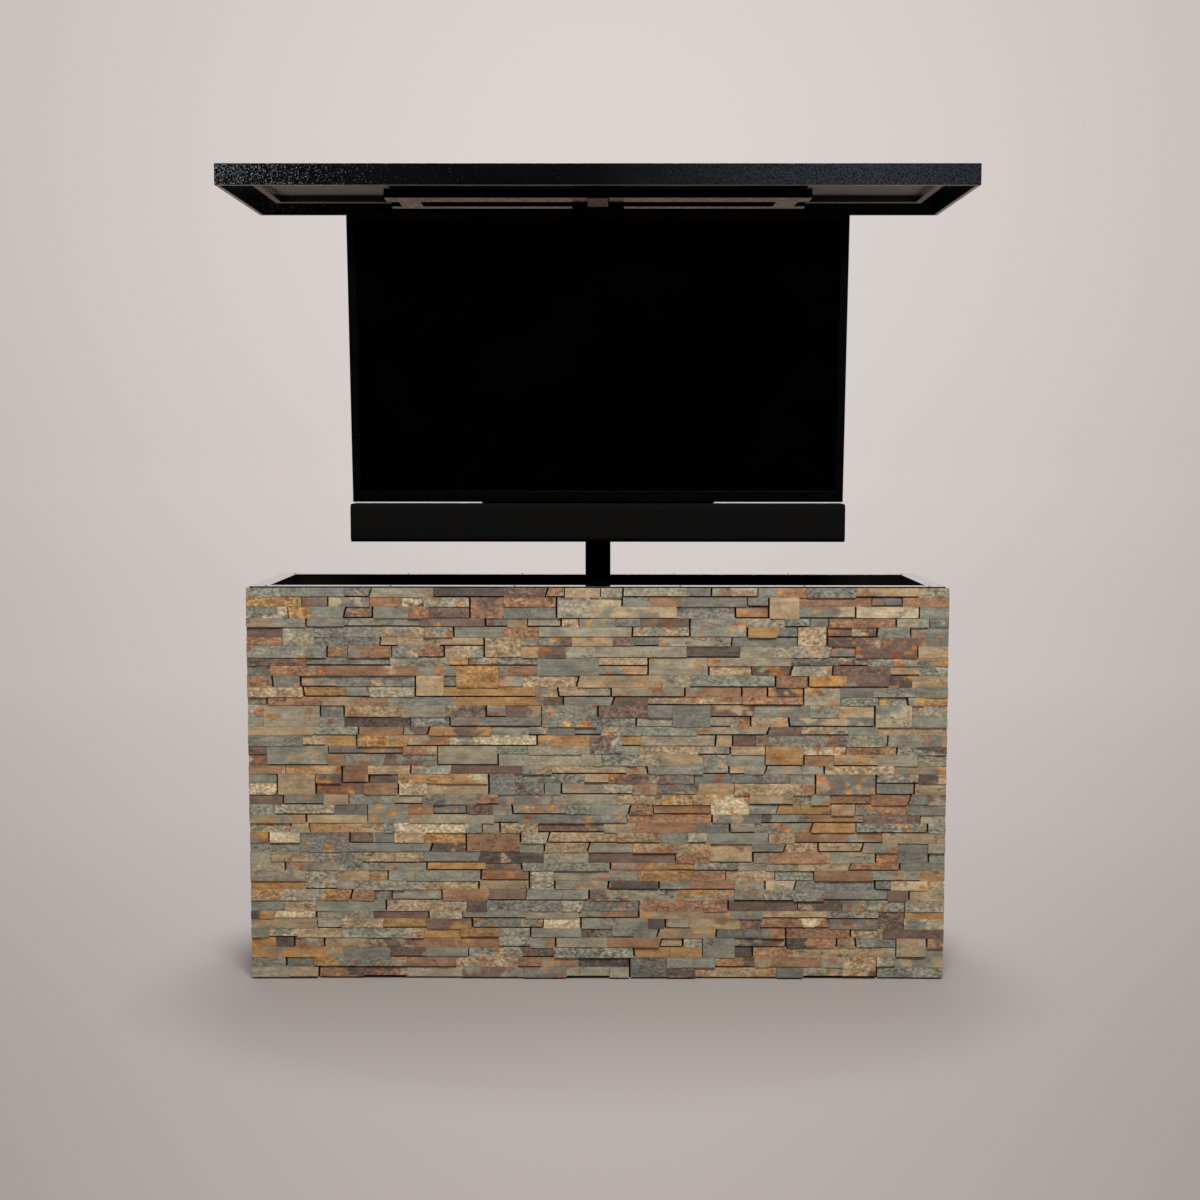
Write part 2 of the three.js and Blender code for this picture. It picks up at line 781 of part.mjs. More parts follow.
function hangerPlate() {
  const z0 = headBottom - fit - hangerLength;
  const sheet = slab(0, hangerWidth, hangerY, hangerY + hangerSheet, z0, headBottom - fit);
  const slotWidth = hangerWidth * half * half;
  const front = hangerY - overrun;
  const back = hangerY + hangerSheet + overrun;
  let plate = sheet;
  for (const z of [z0 + hangerWidth * half, headBottom - hangerWidth]) {
    plate = plate.subtract(slab(0, slotWidth, front, back, z, z + slotWidth));
  }
  const neckX = hangerNeckWidth * half;
  const pastX = hangerWidth * half + overrun;
  for (const [x0, x1] of [[-pastX, -neckX], [neckX, pastX]]) {
    plate = plate.subtract(block(x0, x1, front, back, headBottom - hangerNeckLength, headBottom));
  }
  piece("hanger_plate", plate, steelPlate);
}

// Lid frame: a welded ladder of two bars and three arms, on the head plate.
function lidFrame() {
  const y0 = frameFront;
  const y1 = frameFront + frameDepth;
  let frame = slab(0, frameLength, y0, y0 + frontBarWidth, frameBottom, frameTop);
  frame = frame.add(slab(0, frameLength, y1 - rearBarWidth, y1, frameBottom, frameTop));
  for (const x of [-armX, 0, armX]) {
    frame = frame.add(slab(x, armWidth, y0 + overrun, y1 - overrun, frameBottom, frameTop));
  }
  piece("lid_frame", frame, blackPowderCoat);
}

// Lid angles: short steel angles that stand on the frame and screw up into the liner board.
function lidAngles() {
  const y0 = frameFront;
  const y1 = frameFront + frameDepth;
  for (const [side, nameX] of [[-1, "left"], [1, "right"]]) {
    const near = side * lidAngleX;
    const far = side * (lidAngleX + lidAngleLength);
    const x0 = Math.min(near, far);
    const x1 = Math.max(near, far);
    for (const [nameY, y, turn] of [["front", y0, 1], ["rear", y1, -1]]) {
      const foot = frameTop + fit;
      const top = foot + lidAngleHeight;
      const outline = [
        [y, foot],
        [y + turn * lidAngleLeg, foot],
        [y + turn * lidAngleLeg, foot + lidAngleSheet],
        [y + turn * lidAngleSheet, foot + lidAngleSheet],
        [y + turn * lidAngleSheet, top - lidAngleSheet],
        [y + turn * lidAngleLeg, top - lidAngleSheet],
        [y + turn * lidAngleLeg, top],
        [y, top],
      ];
      piece(`lid_angle_${nameY}_${nameX}`, profileAlongX(outline, x0, x1), steelPlate);
    }
  }
}

// Lid shell: a folded tray, open below, with a hem turned in round its edge.
function lidShell() {
  const outer = block(-lidX, lidX, -lidY, lidY, lidBottom, lidTop);
  const wallX = lidX - lidSheet;
  const wallY = lidY - lidSheet;
  const inside = block(-wallX, wallX, -wallY, wallY, lidBottom + lidSheet, lidTop - lidSheet);
  const mouthX = lidX - lidHem;
  const mouthY = lidY - lidHem;
  const mouth = block(-mouthX, mouthX, -mouthY, mouthY, lidBottom - overrun, lidBottom + lidSheet + fit);
  piece("lid_shell", outer.subtract(inside.add(mouth)), blackPowderCoat);
}

// Lid liner: the board under the lid's top sheet, as large as the ring that holds it up.
function lidLiner() {
  const x = halfWidth - ringReveal;
  const y = halfDepth - ringReveal;
  piece("lid_liner", block(-x, x, -y, y, linerBottom, linerTop), linerBoard);
}

// Lid ring and seal: they come down on the cabinet's rim when the lid is shut.
function lidRing() {
  const outerX = halfWidth - ringReveal;
  const outerY = halfDepth - ringReveal;
  const openX = outerX - ringWidth;
  const openY = outerY - ringWidth;
  piece("lid_ring", openFrame(outerX, outerY, openX, openY, ringBottom, ringTop), blackPowderCoat);
  const sealTop = sealBottom + sealThickness;
  piece("lid_seal", openFrame(outerX, outerY, openX, openY, sealBottom, sealTop), sealRubber);
}

// Tilt bracket: two cheeks on the hanger plate, with the shaft that the television turns on.
function tiltBracket() {
  const back = hangerY - fit;
  let bracket = slab(
    0,
    cheekX + cheekX + cheekSheet,
    back - cheekSheet,
    back,
    pivotZ - cheekHeight * half,
    pivotZ + cheekHeight * half,
  );
  for (const side of [-1, 1]) {
    const outline = [
      [back, pivotZ - cheekHeight * half],
      [back, pivotZ + cheekHeight * half],
      [tvPivotY, pivotZ + shaftRadius + cheekSheet],
      [tvPivotY - shaftRadius - cheekSheet * half, pivotZ],
      [tvPivotY, pivotZ - shaftRadius - cheekSheet],
    ];
    const middle = side * cheekX;
    const cheek = profileAlongX(outline, middle - cheekSheet * half, middle + cheekSheet * half);
    bracket = bracket.add(cheek);
  }
  const pastCheek = cheekX + overrun;
  bracket = bracket.subtract(rodAlongX(tvPivotY, pivotZ, shaftRadius + fit, -pastCheek, pastCheek));
  piece("tilt_bracket", bracket, steelPlate);
  const shaft = rodAlongX(tvPivotY, pivotZ, shaftRadius, -shaftLength * half, shaftLength * half);
  piece("tilt_shaft", shaft, groundSteel);
}

// Soundbar: a housing with round front corners, a grille wrapped round its front, and the plate that
// hangs it.
function soundbarSection(front, back, low, high, corner) {
  const outline = new THREE.Shape();
  outline.moveTo(back, low);
  outline.lineTo(back, high);
  outline.lineTo(front + corner, high);
  outline.absarc(front + corner, high - corner, corner, Math.PI * half, Math.PI);
  outline.lineTo(front, low + corner);
  outline.absarc(front + corner, low + corner, corner, Math.PI, Math.PI + Math.PI * half);
  return outline.getPoints(soundbarCornerSteps).map((p) => [p.x, p.y]);
}

function soundbar() {
  const reach = soundbarLength * half;
  const back = soundbarFront + soundbarDepth;
  const skin = grilleSheet + fit;
  const wrapEnd = soundbarFront + grilleWrap;
  const section = soundbarSection(soundbarFront, back, soundbarBottom, soundbarTop, soundbarCorner);
  const outside = profileAlongX(section, -reach, reach);
  const kept = soundbarCore(skin);
  const behind = block(-reach, reach, wrapEnd + fit, back, soundbarBottom, soundbarTop);
  piece("soundbar_body", outside.intersect(kept.add(behind)), moulded);

  const wideX = reach + overrun;
  const foreLow = soundbarBottom - overrun;
  const foreHigh = soundbarTop + overrun;
  const fore = block(-wideX, wideX, soundbarFront - overrun, wrapEnd, foreLow, foreHigh);
  piece("soundbar_grille", outside.intersect(fore).subtract(soundbarCore(grilleSheet)), grilleCloth);
}

// What is left of the housing's shape inside a skin of that thickness; it runs past the housing's back.
function soundbarCore(skin) {
  const reach = soundbarLength * half - skin;
  const back = soundbarFront + soundbarDepth + overrun;
  const low = soundbarBottom + skin;
  const high = soundbarTop - skin;
  const section = soundbarSection(soundbarFront + skin, back, low, high, soundbarCorner - skin);
  return profileAlongX(section, -reach, reach);
}

function soundbarPlate() {
  const back = hangerY - fit;
  const front = back - webSheet;
  const low = soundbarTop - webDrop;
  let plate = slab(0, webWidth, front, back, low, low + webHeight);
  const barBack = soundbarFront + soundbarDepth + fit;
  for (const side of [-1, 1]) {
    const x = side * standoffX;
    plate = plate.add(slab(x, standoffWidth, barBack, front + fit, low, soundbarTop));
  }
  piece("soundbar_plate", plate, steelPlate);
}

// Television: drawn upright about its tilt shaft, then leaned forward.
const television = new THREE.Group();
television.position.set(0, tvPivotY, pivotZ);
television.rotation.x = tvTilt;
cabinet.add(television);

function televisionCase() {
  const x = tvWidth * half;
  const z = tvHeight * half;
  const front = -tvFront;
  const bezelBack = front + bezelDepth;
  const screenX = x - bezelFace;
  const screenLow = -z + bezelFoot;
  const screenHigh = z - bezelFace;
  const bezel = block(-x, x, front, bezelBack, -z, z).subtract(
    block(-screenX, screenX, front - overrun, bezelBack + overrun, screenLow, screenHigh),
  );
  piece("tv_bezel", bezel, moulded, television);

  const glassFront = front + screenRecess;
  const glass = block(
    -screenX + fit,
    screenX - fit,
    glassFront,
    glassFront + screenThickness,
    screenLow + fit,
    screenHigh - fit,
  );
  piece("tv_screen", glass, glossGlass, television);

  const backFront = bezelBack + fit;
  const backRear = backFront + backThickness;
  const plug = block(
    -screenX + fit,
    screenX - fit,
    glassFront + screenThickness + fit,
    backFront + fit,
    screenLow + fit,
    screenHigh - fit,
  );
  let cover = block(-x, x, backFront, backRear, -z, z).add(plug).add(televisionBulge(backRear));
  const slotPitch = bulgeWidth / (ventCount + ventCount);
  for (let i = 0; i < ventCount; i++) {
    const slotX = (i - (ventCount - 1) * half) * slotPitch;
    const slotRear = backRear + bulgeDepth;
    const slotTop = bulgeTop - bulgeChamfer - ventDepth;
    cover = cover.subtract(
      slab(slotX, slotPitch * half, slotRear - ventDepth, slotRear + overrun, slotTop - ventHeight, slotTop),
    );
  }
  piece("tv_rear_cover", cover, moulded, television);
}

// The electronics bulge on the television's back, with sloping sides.
function televisionBulge(rear) {
  const deep = bulgeDepth;
  const outline = new THREE.Shape();
  const x = bulgeWidth * half - bulgeChamfer;
  outline.moveTo(-x, -bulgeFoot + bulgeChamfer);
  outline.lineTo(x, -bulgeFoot + bulgeChamfer);
  outline.lineTo(x, bulgeTop - bulgeChamfer);
  outline.lineTo(-x, bulgeTop - bulgeChamfer);
  const bulge = new THREE.ExtrudeGeometry(outline, {
    depth: deep - bulgeChamfer,
    bevelEnabled: true,
    bevelThickness: bulgeChamfer,
    bevelSize: bulgeChamfer,
    bevelSegments: 1,
  });
  // The outline's plane is X and Z, and its depth runs back along Y.
  const turn = new THREE.Matrix4().makeBasis(
    new THREE.Vector3(1, 0, 0),
    new THREE.Vector3(0, 0, -1),
    new THREE.Vector3(0, 1, 0),
  );
  const placed = bulge.applyMatrix4(turn).translate(0, rear, 0);
  const outside = block(-bulgeWidth, bulgeWidth, rear - fit, rear + deep + overrun, -bulgeWidth, bulgeWidth);
  return solidOf(placed).intersect(outside);
}

// Mounting rails: folded channels screwed to the television's back, with ears that sit on the tilt shaft.
function mountingRails() {
  const front = -tvFront + bezelDepth + fit + backThickness + bulgeDepth + fit;
  const back = front + railDepth;
  for (const [side, name] of [[-1, "vesa_rail_left"], [1, "vesa_rail_right"]]) {
    const x0 = side * railX - railWidth * half;
    const x1 = x0 + railWidth;
    const z = railHeight * half;
    const pastZ = z + overrun;
    let rail = block(x0, x1, front, back, -z, z);
    const inner = block(x0 + railSheet, x1 - railSheet, front + railSheet, back + overrun, -pastZ, pastZ);
    rail = rail.subtract(inner);
    const earRadius = shaftRadius + railSheet + railSheet;
    const behind = block(x0, x1, front, front + earRadius + earRadius, -earRadius, earRadius);
    const ear = rodAlongX(0, 0, earRadius, x0, x1, largeSides).intersect(behind);
    rail = rail.add(ear).subtract(rodAlongX(0, 0, shaftRadius + fit, x0 - overrun, x1 + overrun));
    piece(name, rail, steelPlate, television);
  }
}

floorPanel();
carcassPanels();
cornerPosts();
rimRails();
cladding();
levellingFeet();
doorFrame();
serviceDoor();
doorLatch();
cableGland();
liftBasePlate();
gearbox();
gearMotor();
controlBox();
columnTubes();
columnCollars();
spindles();
headPlate();
hangerPlate();
lidFrame();
lidAngles();
lidShell();
lidLiner();
lidRing();
tiltBracket();
soundbar();
soundbarPlate();
televisionCase();
mountingRails();

export default cabinet;
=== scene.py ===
import json
import math
import random

import bmesh
import bpy
from mathutils import Matrix, Vector, noise

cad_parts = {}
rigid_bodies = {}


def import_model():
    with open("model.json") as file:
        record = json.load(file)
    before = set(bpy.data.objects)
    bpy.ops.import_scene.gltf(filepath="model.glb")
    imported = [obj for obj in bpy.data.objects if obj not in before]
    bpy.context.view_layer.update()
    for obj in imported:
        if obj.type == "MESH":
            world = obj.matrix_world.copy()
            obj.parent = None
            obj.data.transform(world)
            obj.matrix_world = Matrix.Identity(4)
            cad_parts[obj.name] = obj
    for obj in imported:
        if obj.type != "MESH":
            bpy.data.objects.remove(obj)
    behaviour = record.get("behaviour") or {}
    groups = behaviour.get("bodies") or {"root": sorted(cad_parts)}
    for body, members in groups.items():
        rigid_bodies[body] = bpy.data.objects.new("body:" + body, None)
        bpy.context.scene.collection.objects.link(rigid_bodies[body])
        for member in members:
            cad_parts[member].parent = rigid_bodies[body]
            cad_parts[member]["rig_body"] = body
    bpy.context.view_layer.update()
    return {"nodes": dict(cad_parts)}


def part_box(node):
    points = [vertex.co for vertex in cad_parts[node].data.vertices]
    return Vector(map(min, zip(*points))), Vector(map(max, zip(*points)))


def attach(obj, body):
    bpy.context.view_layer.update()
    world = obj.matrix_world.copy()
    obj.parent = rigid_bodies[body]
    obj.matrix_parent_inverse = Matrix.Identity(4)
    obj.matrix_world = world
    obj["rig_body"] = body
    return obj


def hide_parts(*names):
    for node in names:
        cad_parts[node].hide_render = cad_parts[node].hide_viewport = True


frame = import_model()
scene = bpy.context.scene


# Carcass: a floor panel and four walls of 18 mm board with a hard black face. The walls are screwed
# to the posts in the corners, and the stone is glued on outside.
def tint(red, green, blue):
    """A colour written as it shows, 0 to 255, in the values that a shader takes."""
    shares = [value / 255 for value in (red, green, blue)]
    return [s / 12.92 if s < 0.04045 else ((s + 0.055) / 1.055) ** 2.4 for s in shares] + [1.0]


class Finish:
    """A surface made up in layers: a plain coat first, then colour, gloss and relief over it."""

    def __init__(self, name, colour, roughness, sockets=()):
        self.material = bpy.data.materials.new(name)
        self.material.use_nodes = True
        self.nodes = self.material.node_tree.nodes
        self.shader = self.nodes["Principled BSDF"]
        self.place = self.nodes.new("ShaderNodeTexCoord").outputs["Object"]
        self.shader.inputs["Base Color"].default_value = tint(*colour)
        self.shader.inputs["Roughness"].default_value = roughness
        for socket, value in dict(sockets).items():
            self.shader.inputs[socket].default_value = value

    def add(self, kind, **settings):
        node = self.nodes.new("ShaderNode" + kind)
        for name, value in settings.items():
            setattr(node, name, value)
        return node

    def join(self, value, socket):
        """Joins a socket to another, or sets it to a number or to a colour as it shows."""
        if isinstance(value, bpy.types.NodeSocket):
            self.material.node_tree.links.new(value, socket)
        else:
            socket.default_value = tint(*value) if isinstance(value, tuple) else value

    def axes(self, vector):
        """The three parts of a place or a direction, under the names X, Y and Z."""
        node = self.add("SeparateXYZ")
        self.join(vector, node.inputs[0])
        return node.outputs

    def noise(self, size, stretch=(1, 1, 1), detail=3.0, shift=None):
        """Cloudy noise with blotches about size across, drawn out along each axis by stretch."""
        spread = self.add("Mapping")
        spread.inputs["Scale"].default_value = [1 / (size * along) for along in stretch]
        self.join(self.place, spread.inputs["Vector"])
        cloud = self.add("TexNoise", noise_dimensions="4D" if shift else "3D")
        self.join(1.0, cloud.inputs["Scale"])
        self.join(detail, cloud.inputs["Detail"])
        self.join(spread.outputs[0], cloud.inputs["Vector"])
        if shift:
            self.join(shift, cloud.inputs["W"])
        return cloud.outputs["Fac"]

    def ramp(self, factor, stops):
        """Turns a factor into a colour or a grey, by stops of (place, colour)."""
        node = self.add("ValToRGB")
        elements = node.color_ramp.elements
        elements[0].position, elements[1].position = stops[0][0], stops[-1][0]
        for place, _ in stops[1:-1]:
            elements.new(place)
        for element, (_, colour) in zip(elements, stops):
            element.color = tint(*colour) if isinstance(colour, tuple) else [colour] * 3 + [1.0]
        self.join(factor, node.inputs["Fac"])
        return node.outputs["Color"]

    def mix(self, factor, first, second, way="MIX"):
        """Lays the second colour over the first, by the node's own sockets for colours."""
        node = self.add("Mix", data_type="RGBA", blend_type=way)
        self.join(factor, node.inputs[0])
        self.join(first, node.inputs[6])
        self.join(second, node.inputs[7])
        return node.outputs[2]

    def maths(self, operation, first, second):
        node = self.add("Math", operation=operation)
        self.join(first, node.inputs[0])
        self.join(second, node.inputs[1])
        return node.outputs[0]

    def relief(self, height, depth):
        """Lifts the surface by up to one depth where height is one, over the relief that it has."""
        bump = self.add("Bump")
        self.join(depth, bump.inputs["Distance"])
        self.join(height, bump.inputs["Height"])
        normal = self.shader.inputs["Normal"]
        if normal.links:
            self.join(normal.links[0].from_socket, bump.inputs["Normal"])
        self.join(bump.outputs[0], normal)

    def colour(self, value):
        self.join(value, self.shader.inputs["Base Color"])

    def gloss(self, value):
        self.join(value, self.shader.inputs["Roughness"])

    def tones(self, dark, light, size, *how):
        """Colours it in clouds, from a dark tone to a light one."""
        self.colour(self.ramp(self.noise(size, *how), [(0.3, dark), (0.7, light)]))

    def sheens(self, smooth, rough, size, *how):
        """Makes its gloss uneven in clouds."""
        self.gloss(self.ramp(self.noise(size, *how), [(0.3, smooth), (0.7, rough)]))

    def texture(self, size, depth, detail=1.0):
        """Gives it a fine relief all over."""
        self.relief(self.noise(size, detail=detail), depth)


def made(name, form, finish, body, instead=(), bend=35, ease=0.0):
    """Turns a form into a piece that rides on a body. Its edges of more than bend degrees stay
    sharp, or are eased by a small radius."""
    mesh = bpy.data.meshes.new(name)
    form.to_mesh(mesh)
    form.free()
    mesh.materials.append(finish.material)
    mesh.polygons.foreach_set("use_smooth", [True] * len(mesh.polygons))
    mesh.set_sharp_from_angle(angle=math.radians(bend))
    piece = bpy.data.objects.new(name, mesh)
    scene.collection.objects.link(piece)
    if ease:
        round_over = piece.modifiers.new("eased_edges", "BEVEL")
        round_over.width = ease
        round_over.segments = 2
        round_over.limit_method = "ANGLE"
        round_over.angle_limit = math.radians(bend)
        round_over.harden_normals = True
        done = piece.evaluated_get(bpy.context.evaluated_depsgraph_get())
        piece.data = bpy.data.meshes.new_from_object(done)
        piece.modifiers.clear()
    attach(piece, body)
    if instead:
        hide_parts(*instead)


SAME_POINT = 2e-6
FLAT = math.radians(0.5)


def worked(node, finish, ease):
    """The real piece for a node: its form, with the edges eased as a maker leaves them."""
    source = frame["nodes"][node]
    form = bmesh.new()
    points = [form.verts.new(vertex.co) for vertex in source.data.vertices]
    for polygon in source.data.polygons:
        form.faces.new([points[index] for index in polygon.vertices])
    bmesh.ops.remove_doubles(form, verts=form.verts, dist=SAME_POINT)
    bmesh.ops.dissolve_limit(form, angle_limit=FLAT, verts=form.verts, edges=form.edges)
    made(node + "_worked", form, finish, source["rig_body"], [node], ease=ease)


def turned(form, base, facing, outline, sides):
    """Adds a closed turned solid: outline gives (radius, height) from the foot's centre to the
    top's centre, along facing. A third entry makes that ring six-sided."""
    base = Vector(base)
    spin = Vector((0, 0, 1)).rotation_difference(Vector(facing)).to_matrix()
    rings = []
    for radius, height, *hexagonal in outline:
        ring = []
        for step in range(sides if radius else 1):
            angle = math.tau * step / sides
            to_flat = math.cos(angle % (math.tau / 6) - math.tau / 12)
            reach = radius / to_flat if hexagonal else radius
            point = Vector((reach * math.cos(angle), reach * math.sin(angle), height))
            ring.append(form.verts.new(base + spin @ point))
        rings.append(ring)
    for low, high in zip(rings, rings[1:]):
        for k in range(sides):
            steps = ((low, k), (low, k + 1), (high, k + 1), (high, k))
            corners = [ring[step % len(ring)] for ring, step in steps]
            form.faces.new(list(dict.fromkeys(corners)))


def screws(name, body, finish, places, facing, radius):
    """Socket-head screws of one size with their heads on the given places."""
    form = bmesh.new()
    height = radius * 0.75
    head = [
        (0, 0), (radius, 0), (radius, height * 0.55), (radius * 0.9, height * 0.85),
        (radius * 0.66, height), (radius * 0.46, height, True), (radius * 0.42, height * 0.4, True),
        (0, height * 0.3),
    ]
    for place in places:
        turned(form, place, facing, head, sides=18)
    made(name, form, finish, body)


board = Finish("black_faced_board", (17, 16, 16), 0.45, {"Specular IOR Level": 0.35})
board.tones((13, 12, 12), (24, 23, 22), 0.05, (1, 1, 3), 4.0)
board.sheens(0.38, 0.55, 0.02)
board.texture(0.0015, 0.00008, 2.0)

zinc = Finish("blackened_zinc", (46, 46, 48), 0.38, {"Metallic": 0.9})
zinc.tones((38, 38, 40), (70, 69, 68), 0.004)
zinc.sheens(0.3, 0.5, 0.003)

for panel in ("floor_panel", "carcass_front", "carcass_rear", "carcass_left", "carcass_right"):
    worked(panel, board, ease=0.0008)


# Corner posts: four lengths of 50 mm steel angle, sawn, drilled and painted dark. Each stands in an
# inner corner from the floor panel to the rim, with a row of screws through each leg.
post_paint = Finish("dark_paint", (33, 33, 35), 0.42, {"Metallic": 0.15, "Specular IOR Level": 0.4})
post_paint.tones((28, 28, 30), (41, 41, 43), 0.03)
post_paint.sheens(0.34, 0.52, 0.006)
post_paint.texture(0.0012, 0.00006)

POST_SHEET = 0.004
POST_ROWS = 6
SCREW_RADIUS = 0.005
WALL_SCREWS_UP = 0.03
for side_x, name_x in ((-1, "left"), (1, "right")):
    for side_y, name_y in ((-1, "front"), (1, "rear")):
        post = f"corner_post_{name_y}_{name_x}"
        worked(post, post_paint, ease=0.0006)
        low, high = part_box(post)
        face_x = (high.x - POST_SHEET) if side_x > 0 else (low.x + POST_SHEET)
        face_y = (high.y - POST_SHEET) if side_y > 0 else (low.y + POST_SHEET)
        middle = (low + high) / 2
        heights = [low.z + (high.z - low.z) * (row + 0.5) / POST_ROWS for row in range(POST_ROWS)]
        screws(f"{post}_side_screws", "cabinet", zinc,
               [(face_x, middle.y, z) for z in heights], (-side_x, 0, 0), SCREW_RADIUS)
        screws(f"{post}_wall_screws", "cabinet", zinc,
               [(middle.x, face_y, z + WALL_SCREWS_UP) for z in heights], (0, -side_y, 0),
               SCREW_RADIUS)


# Levelling feet: a steel disc with a rubber sole on a threaded stem, which screws up and down in
# the floor panel, and a nut that locks it. The rubber is moulded round the disc's underside.
def threaded(form, base, radius, depth, pitch, length, sides=16, bore=0.0):
    """Adds an upright screwed bar: its wall waves in and out by one thread depth as it winds up.
    Crest and root are each a quarter of the pitch wide. With a bore it is a tube."""
    x, y, z = base

    def ring_point(k, reach, height):
        angle = math.tau * k / sides
        place = (x + reach * math.cos(angle), y + reach * math.sin(angle), z + height)
        return form.verts.new(place)

    rows_each = 6
    rows = round(length / pitch * rows_each)
    rings = []
    for row in range(rows + 1):
        ring = []
        for k in range(sides):
            turn = row / rows_each - k / sides
            crest = min(1.0, max(0.0, 1.5 - abs(turn % 1.0 - 0.5) * 4.0))
            ring.append(ring_point(k, radius - depth * (1 - crest), length * row / rows))
        rings.append(ring)
    for low_ring, high_ring in zip(rings, rings[1:]):
        for k in range(sides):
            far = (k + 1) % sides
            form.faces.new((low_ring[k], low_ring[far], high_ring[far], high_ring[k]))
    if not bore:
        form.faces.new(list(reversed(rings[0])))
        form.faces.new(rings[-1])
        return
    mouths = [[ring_point(k, bore, height) for k in range(sides)] for height in (0.0, length)]
    for k in range(sides):
        far = (k + 1) % sides
        form.faces.new((rings[0][far], rings[0][k], mouths[0][k], mouths[0][far]))
        form.faces.new((rings[-1][k], rings[-1][far], mouths[1][far], mouths[1][k]))
        form.faces.new((mouths[0][far], mouths[0][k], mouths[1][k], mouths[1][far]))


rubber = Finish("black_rubber", (14, 14, 14), 0.8, {"Specular IOR Level": 0.25})
rubber.tones((11, 11, 11), (20, 19, 18), 0.01)
rubber.texture(0.0008, 0.00005)

PAD = 0.026
SOLE = 0.0024
DISC_TOP = 0.0062
NUT = 0.0085
STEM = {"radius": 0.006, "depth": 0.0007, "pitch": 0.0015}
STEM_FOOT = 0.006
foot_disc = [
    (0, SOLE * 0.6), (PAD * 0.8, SOLE * 0.6), (PAD * 0.94, SOLE), (PAD * 0.96, SOLE + 0.0012),
    (PAD * 0.9, 0.0052), (0.014, 0.006), (NUT, DISC_TOP), (0, DISC_TOP),
]
lock_nut = [
    (0, 0), (0.0075, 0, True), (NUT, 0.0008, True), (NUT, 0.0042, True), (0.0075, 0.005, True),
    (0, 0.005),
]
foot_sole = [
    (0, 0), (PAD * 0.9, 0), (PAD, 0.0006), (PAD, SOLE), (PAD * 0.95, SOLE + 0.0008),
    (PAD * 0.85, SOLE), (0, SOLE),
]
for corner in ("front_left", "front_right", "rear_left", "rear_right"):
    foot = f"foot_{corner}"
    low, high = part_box(foot)
    centre = (low + high) / 2
    form = bmesh.new()
    turned(form, (centre.x, centre.y, 0), (0, 0, 1), foot_disc, sides=32)
    turned(form, (centre.x, centre.y, DISC_TOP), (0, 0, 1), lock_nut, sides=18)
    threaded(form, (centre.x, centre.y, STEM_FOOT), length=high.z - STEM_FOOT, **STEM)
    made(f"{foot}_stem", form, zinc, foot, [foot])
    form = bmesh.new()
    turned(form, (centre.x, centre.y, 0), (0, 0, 1), foot_sole, sides=32)
    made(f"{foot}_sole", form, rubber, foot)


# Ledger stone: split slate and quartzite strips, 24 mm high, stacked in courses with tight dry
# joints and glued to the board. Each strip is snapped by hand, so its face and ends differ.
COURSES = 40
STONE_DEPTH = 0.0195
FOOT_GAP = 0.001

# The beds stray from level by up to a share of a course. Tall blocks are tried at random places, so
# many to the metre, and stay only where they keep apart from each other and from the wall's ends.
UNEVEN = 0.13
TALL_TRIES = 44
TALL_WIDTHS = (0.06, 0.15)
TALL_APART = 0.03
END_MARGIN = 0.01

# The strips' widths and how far each may vary, the shortest that may end a run, how far the ends
# lean, and what is too thin or too low to lay as a stone.
STRIP_WIDTHS = (0.05, 0.07, 0.09, 0.115, 0.145, 0.19)
WIDTH_SPREAD = (0.8, 1.2)
SHORTEST = 0.04
LEANS = (0.0, 0.0, 0.0, 0.0, 0.001, -0.001, 0.002, -0.003, 0.007)
SLIVER = 0.001
LEAST_HIGH = 0.003

# Each joint's widths and how often each comes, and the same for the steps that a face stands back.
JOINT = 0.0001
END_JOINTS = ((JOINT, 0.0022, 0.0044), (0.62, 0.1, 0.28))
BED_JOINTS = ((JOINT, 0.0018, 0.0036), (0.64, 0.1, 0.26))
STEPS_BACK = ((0, 1, 2), (0.36, 0.36, 0.28))
STEP_BACK = 0.0031
LEAST_BACK, BACK_SPREAD = 0.0004, 0.0014
LEAST_DEPTH = 0.0001

# The split face: its grid, how far it leans, how deep it is cleft, and its chipped edges. Waves,
# ledges and chips have so many blotches to the metre, across and up.
GRID_ACROSS, GRID_UP = 0.0075, 0.006
FACE_LEANS = (0.0006, 0.0005)
CLEFTS = (0.0002, 0.0003, 0.0005, 0.0009)
LEDGE = 0.8
CHIP_BACK, CHIP_IN = 0.0006, 0.0003
WAVES, LEDGES, CHIPS = (30, 70), (18, 40), (90, 90)
UNLIKE = 90

# What shows of each kind of stone, and how often it comes as a stone's own colour and as its stain.
KINDS = [
    ((137, 135, 119), 0.24, 0.15),
    ((123, 120, 109), 0.14, 0.11),
    ((152, 142, 120), 0.16, 0.12),
    ((167, 144, 112), 0.12, 0.17),
    ((151, 115, 87), 0.11, 0.17),
    ((119, 98, 84), 0.09, 0.12),
    ((168, 130, 84), 0.06, 0.10),
    ((190, 172, 139), 0.04, 0.03),
    ((96, 85, 76), 0.04, 0.03),
]
SHADES = (0.86, 1.16)
STAINED = ((0.1, 0.28, 0.42, 0.6), (0.3, 0.3, 0.25, 0.15))


